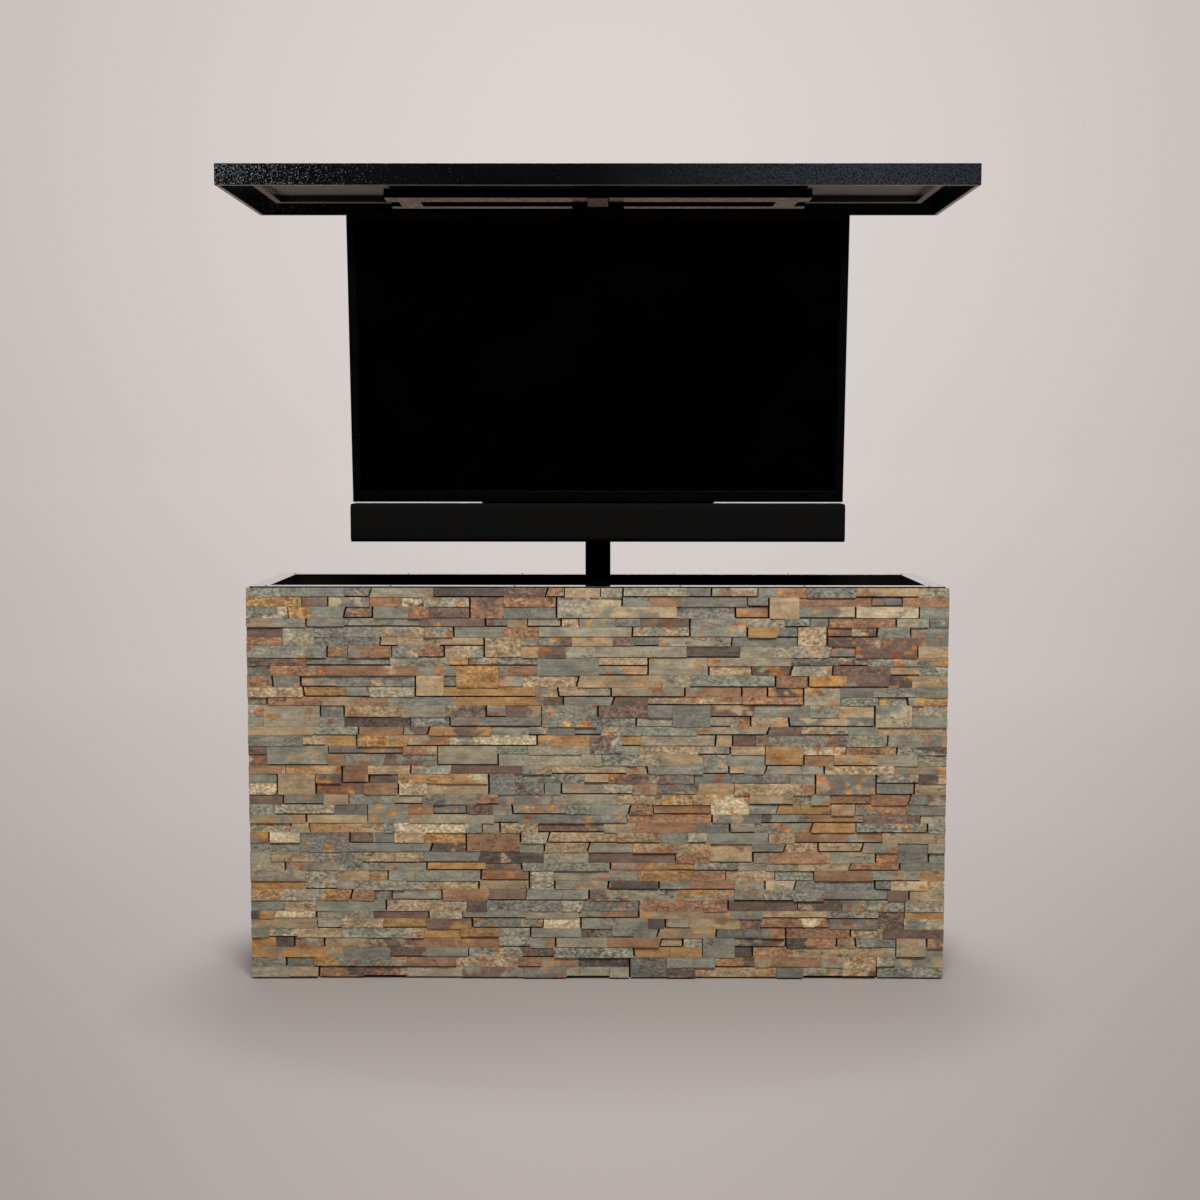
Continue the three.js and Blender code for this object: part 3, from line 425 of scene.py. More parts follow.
def strips(chance, length, z0, z1, holes):
    """Divides a wall into strips (left, right, foot, top, lean of each end): tall blocks first,
    then course by course, with courses that are not quite of one height."""
    rise = (z1 - z0) / COURSES
    beds = [z0]
    for line in range(1, COURSES):
        beds.append(z0 + (line + chance.uniform(-UNEVEN, UNEVEN)) * rise)
    beds.append(z0 + COURSES * rise)
    tall = []
    for _ in range(round(length * TALL_TRIES)):
        wide = chance.uniform(*TALL_WIDTHS)
        left = chance.uniform(-length / 2 + END_MARGIN, length / 2 - wide - END_MARGIN)
        course = chance.randrange(COURSES - 2)
        block = (left, left + wide, beds[course], beds[course + 2])
        near = [
            b for b in tall + list(holes)
            if b[0] < block[1] + TALL_APART and block[0] < b[1] + TALL_APART
            and b[2] < block[3] + rise / 2 and block[2] < b[3] + rise / 2
        ]
        if not near:
            tall.append(block)
    found = [block + (0.0, 0.0) for block in tall]
    for course in range(COURSES):
        spans = [(-length / 2, length / 2, beds[course], beds[course + 1])]
        for hole in tall + list(holes):
            spans = [part for span in spans for part in cut_round(span, hole)]
        for left, right, foot, top in spans:
            lean = 0.0
            while right - left > SLIVER:
                wide = chance.choice(STRIP_WIDTHS) * chance.uniform(*WIDTH_SPREAD)
                last = right - left - wide < SHORTEST
                end = right if last else left + wide
                next_lean = 0.0 if last else chance.choice(LEANS)
                found.append((left, end, foot, top, lean, next_lean))
                left, lean = end, next_lean
    return found


def cut_round(span, hole):
    """What is left of one strip when a hole is cut out of it."""
    left, right, foot, top = span
    if hole[1] <= left or right <= hole[0] or hole[3] <= foot + SLIVER or top - SLIVER <= hole[2]:
        return [span]
    near, far = max(left, hole[0]), min(right, hole[1])
    parts = [
        (left, near, foot, top), (far, right, foot, top),
        (near, far, foot, min(top, hole[2])), (near, far, max(foot, hole[3]), top),
    ]
    return [part for part in parts if part[1] - part[0] > SLIVER and part[3] - part[2] > LEAST_HIGH]


def split_stone(points, faces, chance, strip, reach, put):
    """Adds one stone: a split front face on a grid, snapped edges, and flat sides to the board."""
    left, right, foot, top, lean_left, lean_right = strip
    at_left_end, at_right_end = left + reach < SLIVER, reach - right < SLIVER
    left += JOINT if at_left_end else chance.choices(*END_JOINTS)[0]
    foot += JOINT if at_left_end or at_right_end else chance.choices(*BED_JOINTS)[0]
    right, top = right - JOINT, top - JOINT

    def along(s, t):
        """A place across the stone between its two leaning ends."""
        start, end = left + lean_left * (t - 0.5), right + lean_right * (t - 0.5)
        return start + (end - start) * s

    across = max(3, round((right - left) / GRID_ACROSS))
    up = max(3, round((top - foot) / GRID_UP))
    steps = chance.choices(*STEPS_BACK)[0]
    back = LEAST_BACK + STEP_BACK * steps + chance.uniform(0, BACK_SPREAD)
    lean_across, lean_up = [chance.uniform(-most, most) for most in FACE_LEANS]
    shift = chance.random() * UNLIKE
    cleft = chance.choice(CLEFTS)
    first = len(points)
    for j in range(up + 1):
        for i in range(across + 1):
            s, t = i / across, j / up
            u, z = along(s, t), foot + (top - foot) * t
            wave, ledge, chip = [
                Vector((u * blotches[0], z * blotches[1], shift + apart))
                for blotches, apart in ((WAVES, 0), (LEDGES, 7), (CHIPS, 3))
            ]
            depth = back + lean_across * (s - 0.5) + lean_up * (t - 0.5)
            depth += cleft * noise.fractal(wave, 0.8, 2.0, 3)
            depth += cleft * LEDGE * math.floor(2.5 * noise.noise(ledge))
            if i in (0, across) or j in (0, up):
                chipped = abs(noise.noise(chip))
                depth += CHIP_BACK * chipped
                u += CHIP_IN * chipped * ((i == 0) - (i == across))
                z += CHIP_IN * chipped * ((j == 0) - (j == up))
            points.append(put(u, max(LEAST_DEPTH, depth), z))
    row = across + 1
    for j in range(up):
        for i in range(across):
            a = first + j * row + i
            faces.append((a, a + 1, a + 1 + row, a + row))
    rim = [first + i for i in range(across)]
    rim += [first + j * row + across for j in range(up)]
    rim += [first + up * row + i for i in range(across, 0, -1)]
    rim += [first + j * row for j in range(up, 0, -1)]
    behind = len(points)
    for index in rim:
        s, t = (index - first) % row / across, (index - first) // row / up
        points.append(put(along(s, t), STONE_DEPTH, foot + (top - foot) * t))
    count = len(rim)
    for k in range(count):
        after = (k + 1) % count
        faces.append((rim[after], rim[k], behind + k, behind + after))
    faces.append(tuple(behind + k for k in reversed(range(count))))
    return len(points) - first


def ledger_wall(node, length, put, seed, holes=()):
    """One wall of stones in place of a clad panel, each with its own colour, stain and shift."""
    chance = random.Random(seed)
    low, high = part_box(node)
    points, faces, tints, stains, marks = [], [], [], [], []
    for strip in strips(chance, length, low.z + FOOT_GAP, high.z, holes):
        own = chance.choices(KINDS, [kind[1] for kind in KINDS])[0][0]
        stain = chance.choices(KINDS, [kind[2] for kind in KINDS])[0][0]
        shade = chance.uniform(*SHADES)
        stained = chance.choices(*STAINED)[0]
        count = split_stone(points, faces, chance, strip, length / 2, put)
        tints += ([share * shade for share in tint(*own)[:3]] + [1.0]) * count
        stains += tint(*stain) * count
        marks += [chance.random(), stained, chance.random(), 1.0] * count
    name = node.replace("cladding", "ledger_stones")
    mesh = bpy.data.meshes.new(name)
    mesh.from_pydata(points, [], faces)
    for label, values in (("stone_tint", tints), ("stone_stain", stains), ("stone_mark", marks)):
        mesh.attributes.new(label, "FLOAT_COLOR", "POINT").data.foreach_set("color", values)
    form = bmesh.new()
    form.from_mesh(mesh)
    bpy.data.meshes.remove(mesh)
    made(name, form, stone, "cabinet", [node], bend=38)


# A stain lies over part of the stone's own colour. Some stones have dark seams and some have rust,
# and mottling, grain, layers and flecks darken and lighten them all.
stone = Finish("split_ledger_stone", (131, 120, 104), 0.85, {"Specular IOR Level": 0.25})
own_tint = stone.add("Attribute", attribute_name="stone_tint").outputs["Color"]
own_stain = stone.add("Attribute", attribute_name="stone_stain").outputs["Color"]
own_mark = stone.add("SeparateColor")
stone.join(stone.add("Attribute", attribute_name="stone_mark").outputs["Color"], own_mark.inputs[0])
own_number, own_cover, own_vein = own_mark.outputs[:3]
stone_shift = stone.maths("MULTIPLY", own_number, 60.0)
stain_cloud = stone.noise(0.055, (1.2, 1.2, 1.0), 5.0, stone_shift)
stain_edge = stone.maths("ADD", stain_cloud, own_cover)
stain_cover = stone.ramp(stain_edge, [(0.835, 0.0), (0.885, 1.0)])
mottle = stone.noise(0.03, (1.4, 1.4, 0.8), 5.0, stone_shift)
fleck = stone.noise(0.0075, (1.2, 1.2, 0.8), 3.0, stone_shift)
grain = stone.noise(0.005, (1.3, 1.3, 0.8), 4.0, stone_shift)
layered = stone.noise(0.02, (3.0, 3.0, 0.3), 4.0, stone_shift)
seam_cloud = stone.noise(0.05, (1.8, 1.8, 0.7), 3.0, stone_shift)
seam_line = stone.ramp(seam_cloud, [(0.488, 0.0), (0.5, 1.0), (0.512, 0.0)])
has_seams = stone.ramp(own_vein, [(0.25, 0.75), (0.3, 0.0)])
seamed = stone.maths("MULTIPLY", seam_line, has_seams)
rust_cloud = stone.noise(0.02, (1.2, 1.2, 1), 5.0, stone_shift)
rust_edge = stone.ramp(rust_cloud, [(0.55, 0.0), (0.6, 1.0)])
has_rust = stone.ramp(own_vein, [(0.6, 0.0), (0.85, 0.8)])
rusted = stone.maths("MULTIPLY", rust_edge, has_rust)
rust = stone.ramp(mottle, [(0.4, (156, 90, 54)), (0.6, (200, 140, 66))])
speckled = stone.ramp(own_number, [(0.45, 0.15), (0.95, 0.8)])
grained = stone.ramp(own_number, [(0.1, 0.35), (0.7, 1.0)])
stone_colour = stone.mix(stain_cover, own_tint, own_stain)
stone_colour = stone.mix(rusted, stone_colour, rust)
stone_colour = stone.mix(seamed, stone_colour, (58, 50, 42))
for amount, cloud, dark, light in (
    (1.0, mottle, (0.3, 0.72), (0.7, 1.26)),
    (grained, grain, (0.35, 0.76), (0.65, 1.26)),
    (0.6, layered, (0.32, 0.74), (0.6, 1.12)),
    (speckled, fleck, (0.36, 0.42), (0.64, 1.6)),
):
    stone_colour = stone.mix(amount, stone_colour, stone.ramp(cloud, [dark, light]), "MULTIPLY")
stone.colour(stone_colour)
stone.gloss(stone.ramp(layered, [(0.3, 0.95), (0.75, 0.7)]))
stone.relief(mottle, 0.0016)
stone.relief(fleck, 0.0012)

front_low, front_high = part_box("cladding_front")
side_low, side_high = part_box("cladding_right")
wall_x, wall_y = front_high.x, -front_low.y
long_wall, short_wall = 2 * wall_x, side_high.y - side_low.y
door_low, door_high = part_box("door_frame")
DOOR_GAP = 0.0006
door_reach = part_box("service_door")[1].x + DOOR_GAP
door_hole = (-door_reach, door_reach, door_low.z - DOOR_GAP, door_high.z + DOOR_GAP)
ledger_wall("cladding_front", long_wall, lambda u, d, z: (u, d - wall_y, z), seed=5)
ledger_wall("cladding_rear", long_wall, lambda u, d, z: (-u, wall_y - d, z), 8, [door_hole])
ledger_wall("cladding_right", short_wall, lambda u, d, z: (wall_x - d, u, z), seed=13)
ledger_wall("cladding_left", short_wall, lambda u, d, z: (d - wall_x, -u, z), seed=21)


# Rim: four folded steel caps, mitred at the corners, that cover the tops of the walls and turn down
# inside them. They are sprayed black and lacquered to a shine, and six half-sunk screws hold each
# long one down.
LACQUER = {"IOR": 1.4, "Coat Weight": 1.0, "Coat Roughness": 0.04}
rim_coat = Finish("lacquered_black_coat", (9, 9, 9), 0.16, LACQUER)
rim_coat.tones((13, 12, 11), (20, 18, 17), 0.03)
rim_coat.sheens(0.13, 0.22, 0.012)
rim_coat.texture(0.0018, 0.00002)

for rail in ("rim_front", "rim_rear", "rim_left", "rim_right"):
    worked(rail, rim_coat, ease=0.0006)
RIM_SCREWS_OUT = (0.2, 0.5, 0.8)
RIM_SCREWS_IN = 0.02
RIM_SCREWS_SUNK = 0.0018
rim_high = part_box("rim_rear")[1]
screw_y, screw_z = rim_high.y - RIM_SCREWS_IN, rim_high.z - RIM_SCREWS_SUNK
screws("rim_screws", "cabinet", zinc,
       [(side * x, edge * screw_y, screw_z)
        for side in (-1, 1) for edge in (-1, 1) for x in RIM_SCREWS_OUT], (0, 0, 1), radius=0.0035)


# Service door: a folded steel pan with pressed louvres in a welded steel surround, hung on two
# lift-off hinges. Both are powder coated, and two screws hold each hinge to the pan.
door_coat = Finish("textured_black_coat", (15, 15, 16), 0.5, {"IOR": 1.38})
door_peel = door_coat.noise(0.0016, detail=1.5)
door_coat.colour(door_coat.ramp(door_peel, [(0.35, (11, 11, 12)), (0.7, (26, 26, 27))]))
door_coat.sheens(0.42, 0.58, 0.02)
door_coat.relief(door_peel, 0.00012)

worked("door_frame", door_coat, ease=0.0008)
worked("service_door", door_coat, ease=0.0007)
worked("door_latch", zinc, ease=0.0012)
LOUVRES_PROUD = 0.007
HINGE_SCREWS_IN = 0.03
HINGE_SCREWS_UP = (0.29, 0.315, 0.625, 0.65)
leaf_low, leaf_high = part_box("service_door")
hinge_x, skin_y = leaf_low.x + HINGE_SCREWS_IN, leaf_high.y - LOUVRES_PROUD
screws("door_hinge_screws", "door", zinc,
       [(hinge_x, skin_y, z) for z in HINGE_SCREWS_UP], (0, 1, 0), radius=0.004)


# Cable gland: a moulded nylon gland through the wall, with a six-sided head outside, and a rubber
# bush in its bore that grips the lead.
nylon = Finish("black_nylon", (19, 19, 19), 0.5)
nylon.tones((15, 15, 15), (25, 25, 25), 0.006)
nylon.texture(0.0007, 0.00004)

BUSH_SEAT = 0.006
gland_low, gland_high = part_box("cable_gland")
gland_x, gland_z = (gland_low.x + gland_high.x) / 2, (gland_low.z + gland_high.z) / 2
deep = gland_high.y - gland_low.y
gland_body = [
    (0, deep * 0.5), (0.0075, deep * 0.5), (0.0075, 0.0008), (0.009, 0), (0.0135, 0),
    (0.0135, 0.006), (0.0149, 0.007), (0.0149, deep - 0.0058), (0.0205, deep - 0.0056, True),
    (0.0215, deep - 0.0045, True), (0.0205, deep - 0.0012), (0.0165, deep), (0.0088, deep),
    (0.0075, deep - 0.0008), (0.0075, deep * 0.5 + 0.002), (0, deep * 0.5 + 0.002),
]
gland_bush = [
    (0, 0), (0.0074, 0), (0.0074, 0.0045), (0.0062, 0.0052), (0.0038, 0.0042), (0.0034, 0.002),
    (0, 0.0018),
]
form = bmesh.new()
turned(form, (gland_x, gland_low.y, gland_z), (0, 1, 0), gland_body, sides=36)
made("cable_gland_body", form, nylon, "cabinet", ["cable_gland"])
form = bmesh.new()
turned(form, (gland_x, gland_high.y - BUSH_SEAT, gland_z), (0, 1, 0), gland_bush, sides=24)
made("cable_gland_bush", form, rubber, "cabinet")


# Lift base: a steel plate bolted to the floor panel under a cast worm gearbox and its motor. The
# motor is a ribbed aluminium can with a terminal box, and the control box is a vented moulding.
def block(form, low, high):
    """Adds a closed block between two corners."""
    xs, ys, zs = zip(low, high)
    corners = [form.verts.new((x, y, z)) for z in zs for y in ys for x in xs]
    for face in (
        (0, 2, 3, 1), (4, 5, 7, 6), (0, 1, 5, 4), (2, 6, 7, 3), (0, 4, 6, 2), (1, 3, 7, 5),
    ):
        form.faces.new([corners[index] for index in face])


worked("lift_base_plate", post_paint, ease=0.0008)
worked("gearbox", post_paint, ease=0.003)
worked("control_box", nylon, ease=0.003)
plate_low, plate_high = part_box("lift_base_plate")
bolt_columns = (plate_low.x + 0.014, 0.21, plate_high.x - 0.014)
bolt_rows = (plate_low.y + 0.01, plate_high.y - 0.01)
screws("lift_base_bolts", "cabinet", zinc,
       [(x, y, plate_high.z) for x in bolt_columns for y in bolt_rows], (0, 0, 1), radius=0.0065)

BOSS_IN = 0.055
COVER_CIRCLE = 0.022
box_low, box_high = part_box("gearbox")
boss_x, column_y = box_low.x + BOSS_IN, (box_low.y + box_high.y) / 2
turns = [math.tau * k / 6 for k in range(6)]
screws("gearbox_cover_bolts", "cabinet", zinc,
       [(boss_x + COVER_CIRCLE * math.cos(turn), column_y + COVER_CIRCLE * math.sin(turn),
         box_high.z) for turn in turns], (0, 0, 1), radius=0.003)

cast = Finish("cast_aluminium", (92, 93, 95), 0.5, {"Metallic": 0.85})
cast.tones((78, 79, 81), (112, 113, 115), 0.01)
cast.texture(0.0012, 0.0001, 3.0)

CAN = 0.029
RIBS = 16
RIBS_FROM = 0.014
RIB_STEP = 0.007
RIB_ROOT = CAN - 0.003
motor_low, motor_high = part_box("gear_motor")
motor_long, motor_z = motor_high.x - motor_low.x, motor_high.z - CAN
can = [(0, 0.0103), (0.0148, 0.0103), (0.0148, 0), (CAN * 0.93, 0), (CAN, 0.002), (CAN, 0.012)]
for rib in range(RIBS):
    start = RIBS_FROM + rib * RIB_STEP
    can += [
        (RIB_ROOT, start), (RIB_ROOT, start + 0.0035), (CAN, start + 0.0042), (CAN, start + 0.0065),
    ]
can += [
    (CAN, 0.128), (0.024, motor_long - 0.01), (0.024, motor_long - 0.001), (0.022, motor_long),
    (0, motor_long),
]
form = bmesh.new()
turned(form, (motor_low.x, column_y, motor_z), (1, 0, 0), can, sides=48)
made("gear_motor_can", form, cast, "cabinet", ["gear_motor"])

FOOT_HALF, TERMINALS_HALF = 0.0145, 0.02
form = bmesh.new()
block(form, (motor_low.x + 0.01, column_y - FOOT_HALF, plate_high.z + 0.0003),
      (motor_high.x - 0.01, column_y + FOOT_HALF, motor_z - 0.02))
block(form, (motor_low.x + 0.03, column_y - TERMINALS_HALF, motor_z - 0.002),
      (motor_low.x + 0.085, column_y + TERMINALS_HALF, motor_high.z - 0.0004))
made("gear_motor_foot_and_terminals", form, nylon, "cabinet", ease=0.002)

VENTS = 9
VENTS_IN, VENT_STEP = 0.04, 0.017
VENT_WIDE, VENT_HALF = 0.007, 0.03
case_low, case_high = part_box("control_box")
form = bmesh.new()
for k in range(VENTS):
    x = case_low.x + VENTS_IN + k * VENT_STEP
    block(form, (x, column_y - VENT_HALF, case_high.z - 0.0004),
          (x + VENT_WIDE, column_y + VENT_HALF, case_high.z - 0.00005))
made("control_box_vents", form, rubber, "cabinet")
lug_columns, lug_rows = (case_low.x + 0.0075, case_high.x - 0.0075), (-0.012, 0.012)
screws("control_box_screws", "cabinet", zinc,
       [(x, column_y + y, case_low.z + 0.003) for x in lug_columns for y in lug_rows],
       (0, 0, 1), radius=0.004)


# Lift column: three square steel tubes that slide in one another, black coated, with moulded guide
# collars on the mouths of the outer two. The outer collar is pinned with small screws.
tube_coat = Finish("satin_black_coat", (4, 4, 4), 0.4, {"IOR": 1.14})
tube_coat.tones((4, 4, 4), (7, 7, 7), 0.05, (1, 1, 6))
tube_coat.sheens(0.34, 0.5, 0.012, (0.4, 0.4, 8))
tube_coat.texture(0.0016, 0.00002)
for tube in ("column_outer", "column_middle", "column_inner"):
    worked(tube, tube_coat, ease=0.0005)
for collar in ("column_outer_collar", "column_middle_collar"):
    worked(collar, nylon, ease=0.0005)
PINS_OUT, PINS_SUNK = 0.024, 0.0002
collar_low, collar_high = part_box("column_outer_collar")
collar_middle = (collar_low + collar_high) / 2
pin_y = collar_low.y + PINS_SUNK
screws("column_collar_screws", "cabinet", zinc,
       [(x, pin_y, collar_middle.z) for x in (-PINS_OUT, PINS_OUT)], (0, -1, 0), radius=0.0025)


# Spindles: two trapezoidal-thread screws of ground steel, the upper one hollow and keyed over the
# lower, which run in bronze nuts fixed in the tubes' feet.
ground = Finish("ground_steel", (178, 180, 183), 0.28, {"Metallic": 1.0})
ground.tones((160, 162, 166), (192, 193, 195), 0.006)
ground.sheens(0.2, 0.42, 0.004, (6, 6, 0.3))
bronze = Finish("cast_bronze", (150, 108, 60), 0.42, {"Metallic": 0.95})
bronze.tones((128, 90, 50), (172, 126, 70), 0.008)
bronze.texture(0.002, 0.00008, 3.0)

THREAD = {"depth": 0.0014, "pitch": 0.01, "sides": 20}
UPPER_BORE = 0.009
for spindle, body, bore in (
    ("spindle_lower", "lower_spindle", 0.0),
    ("spindle_upper", "upper_spindle", UPPER_BORE),
):
    low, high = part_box(spindle)
    form = bmesh.new()
    threaded(form, (0, column_y, low.z), radius=(high.x - low.x) / 2, length=high.z - low.z,
             bore=bore, **THREAD)
    made(f"{spindle}_thread", form, ground, body, [spindle])
worked("lower_nut_block", bronze, ease=0.0008)
worked("upper_nut", bronze, ease=0.0008)


# Head and hanger: a thick plate on the inner tube's top, in matt black, and a plate of dark painted
# steel hung from it. The brackets of the television and the soundbar are bolted to the hanger.
matt_paint = Finish("matt_black_paint", (8, 8, 8), 0.8, {"Specular IOR Level": 0.0})
matt_paint.tones((6, 6, 6), (13, 12, 12), 0.02)
matt_paint.texture(0.0012, 0.00004)
worked("head_plate", matt_paint, ease=0.0008)
worked("hanger_plate", post_paint, ease=0.0006)

HEAD_BOLTS_OUT = 0.052
HANGER_BOLTS_OUT = 0.07
SOUNDBAR_BOLTS_UP = (1.27, 1.31)
HANGER_BOLTS_UP = SOUNDBAR_BOLTS_UP + (1.49, 1.55, 1.75)
head_low, head_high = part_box("head_plate")
head_rows = (head_low.y + 0.02, head_high.y - 0.015)
screws("head_plate_bolts", "carriage", matt_paint,
       [(x, y, head_low.z) for x in (-HEAD_BOLTS_OUT, HEAD_BOLTS_OUT) for y in head_rows],
       (0, 0, -1), radius=0.006)
hanger_columns = (-HANGER_BOLTS_OUT, HANGER_BOLTS_OUT)
hanger_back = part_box("hanger_plate")[1].y
screws("hanger_plate_bolts", "carriage", zinc,
       [(x, hanger_back, z) for x in hanger_columns for z in HANGER_BOLTS_UP],
       (0, 1, 0), radius=0.005)


# Lid frame: a ladder of box-section steel with a warm black stove finish, welded and bolted to the
# head plate. A tab of primed steel is welded under the middle of its front bar, and four short
# angles stand on it and are screwed up into the lid's liner board.
STOVED = {"Metallic": 1.0, "Specular Tint": tint(207, 188, 174)}
frame_coat = Finish("frame_black_coat", (9, 9, 9), 0.3, STOVED)
frame_coat.tones((7, 7, 7), (15, 14, 14), 0.02)
frame_coat.sheens(0.22, 0.4, 0.01)
frame_coat.texture(0.0018, 0.00003)
worked("lid_frame", frame_coat, ease=0.0012)

primer = Finish("sand_primer", (186, 155, 139), 0.6)
primer.tones((172, 142, 127), (200, 168, 151), 0.008)
primer.texture(0.0012, 0.00004)
TAB_HALF, TAB_DEEP, TAB_DROP = 0.025, 0.04, 0.017
bar_low, bar_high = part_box("lid_frame")
form = bmesh.new()
block(form, (-TAB_HALF, bar_low.y + 0.0004, bar_low.z - TAB_DROP),
      (TAB_HALF, bar_low.y + TAB_DEEP, bar_low.z - 0.0001))
made("lid_frame_tab", form, primer, "carriage", ease=0.0015)
for angle in ("front_left", "front_right", "rear_left", "rear_right"):
    worked(f"lid_angle_{angle}", post_paint, ease=0.0004)


# Lid: a tray folded from sheet steel with a hem round its edge, in a black coat with pale flakes.
# The flakes are painted thickest at the left end as painted glints, a pale bluish cloud is painted
# over the right part as a painted sheen, and a pale peach band on the hem is a painted reflection.
# Under its top sheet lies a composite board, painted black over the frame's width as painted
# shade. A steel ring with a foam strip meets the rim.
LID_SPAN = 1.8
HEM_DEPTH = 0.0005
lid_coat = Finish("flaked_black_coat_with_painted_sheen", (11, 11, 12), 0.3, {"IOR": 1.13})
along = lid_coat.axes(lid_coat.place)
lid_share = lid_coat.maths("ADD", lid_coat.maths("DIVIDE", along["X"], LID_SPAN), 0.5)
# Painted glints: pale flakes set thickest at the left end. Painted sheen: a pale bluish cloud on
# the right part.
painted_glint_cover = lid_coat.ramp(lid_share, [(0.0, 0.22), (0.1, 0.16), (0.24, 0.05), (0.35, 0.0)])
painted_sheen_cover = lid_coat.ramp(lid_share, [(0.5, 0.0), (0.7, 0.6), (0.85, 1.0), (1.0, 0.8)])
flakes_with_painted_glint = lid_coat.maths("ADD", lid_coat.noise(0.0027, detail=1.0), painted_glint_cover)
painted_sheen_cloud = lid_coat.noise(0.0037, detail=4.0)
painted_sheen_haze = lid_coat.ramp(painted_sheen_cloud, [(0.34, (6, 7, 9)), (0.66, (51, 53, 60))])
lid_colour = lid_coat.ramp(flakes_with_painted_glint, [(0.67, (4, 4, 4)), (0.77, (20, 20, 21)), (0.9, (120, 121, 127))])
lid_colour = lid_coat.mix(painted_sheen_cover, lid_colour, painted_sheen_haze)
# Painted reflection: a pale peach band on the lid's lowest half millimetre.
hem = lid_coat.maths("LESS_THAN", along["Z"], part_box("lid_shell")[0].z + HEM_DEPTH)
lid_coat.colour(lid_coat.mix(hem, lid_colour, (150, 122, 107)))
lid_coat.gloss(lid_coat.ramp(lid_coat.noise(0.09, (3, 1, 1)), [(0.35, 0.26), (0.7, 0.36)]))
lid_coat.relief(flakes_with_painted_glint, 0.0003)
worked("lid_shell", lid_coat, ease=0.0012)

liner = Finish("liner_board", (126, 113, 106), 0.62)
from_middle = liner.maths("ABSOLUTE", liner.axes(liner.place)["X"], 0.0)
# Painted shade: the board is black and without shine across the frame's width, and keeps its own
# colour outside it.
clear_of_painted_shade = liner.maths("GREATER_THAN", from_middle, bar_high.x)
liner_cloud = liner.noise(0.006, detail=5.0)
liner_colour = liner.ramp(liner_cloud, [(0.3, (98, 86, 80)), (0.7, (116, 103, 96))])
liner.colour(liner.mix(clear_of_painted_shade, (9, 8, 8), liner_colour))
liner.join(liner.maths("MULTIPLY", clear_of_painted_shade, 0.5), liner.shader.inputs["Specular IOR Level"])
liner.texture(0.003, 0.00008, 3.0)
foam = Finish("grey_foam_strip", (146, 128, 119), 0.85, {"Specular IOR Level": 0.2})
foam.tones((134, 117, 108), (158, 140, 131), 0.004)
foam.texture(0.0012, 0.00012, 3.0)
worked("lid_liner", liner, ease=0.0005)
worked("lid_ring", rim_coat, ease=0.0006)
worked("lid_seal", foam, ease=0.0004)


# Tilt bracket: two welded cheeks on a back plate, bolted to the hanger, with a ground steel shaft
# through them that the television's rails clamp on.
worked("tilt_bracket", post_paint, ease=0.0006)
worked("tilt_shaft", ground, ease=0.0008)
BRACKET_SHEET = 0.005
BRACKET_BOLTS_OUT = 0.045
BRACKET_BOLTS_UP = (0.015, 0.075)
cheek_low, cheek_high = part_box("tilt_bracket")
bracket_columns = (-BRACKET_BOLTS_OUT, BRACKET_BOLTS_OUT)
screws("tilt_bracket_bolts", "carriage", zinc,
       [(x, cheek_high.y - BRACKET_SHEET, cheek_low.z + z)
        for x in bracket_columns for z in BRACKET_BOLTS_UP], (0, -1, 0), radius=0.005)


# Soundbar: a moulded housing with round front edges, a black cloth grille wrapped round the front,
# shot with brown and blue, and a dark steel plate that hangs it from the carriage.
housing = Finish("fine_black_moulding", (10, 9, 9), 0.48, {"IOR": 1.3})
housing.tones((8, 8, 8), (14, 13, 12), 0.02)
housing.texture(0.0009, 0.00005)
worked("soundbar_body", housing, ease=0.001)

THREADS = 190.0
cloth = Finish("black_grille_cloth", (10, 8, 7), 0.8, {"IOR": 1.2, "Sheen Weight": 0.02})
warp = cloth.add("TexWave", bands_direction="X")
weft = cloth.add("TexWave", bands_direction="Z")
for weave in (warp, weft):
    cloth.join(cloth.place, weave.inputs["Vector"])
    cloth.join(THREADS, weave.inputs["Scale"])
woven = cloth.maths("MULTIPLY", warp.outputs["Fac"], weft.outputs["Fac"])
shot = cloth.ramp(cloth.noise(0.11, detail=1.0), [(0.42, (16, 12, 8)), (0.58, (12, 11, 16))])
cloth.colour(cloth.mix(woven, (3, 3, 3), shot))
cloth.relief(woven, 0.00025)
worked("soundbar_grille", cloth, ease=0.0)
worked("soundbar_plate", post_paint, ease=0.0006)

WEB_IN = 0.0195
web_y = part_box("soundbar_plate")[0].y + WEB_IN
screws("soundbar_plate_bolts", "carriage", zinc,
       [(x, web_y, z) for x in hanger_columns for z in SOUNDBAR_BOLTS_UP], (0, -1, 0), radius=0.005)


# Television: a slim moulded bezel round a dark coated screen, a moulded back cover with a raised
# middle for the electronics, and two folded rails screwed to it that clamp on the tilt shaft.
bezel = Finish("satin_black_bezel", (5, 4, 5), 0.35, {"IOR": 1.12})
bezel.tones((4, 3, 4), (7, 6, 7), 0.03)
bezel.sheens(0.3, 0.42, 0.005, (8, 8, 0.5))
worked("tv_bezel", bezel, ease=0.0012)

screen = Finish("dark_screen", (1, 1, 1), 0.16, {"IOR": 1.05})
screen.tones((0, 0, 0), (2, 2, 2), 0.2)
screen.sheens(0.13, 0.2, 0.05)
worked("tv_screen", screen, ease=0.0003)

worked("tv_rear_cover", housing, ease=0.0012)
for rail in ("vesa_rail_left", "vesa_rail_right"):
    worked(rail, post_paint, ease=0.0004)

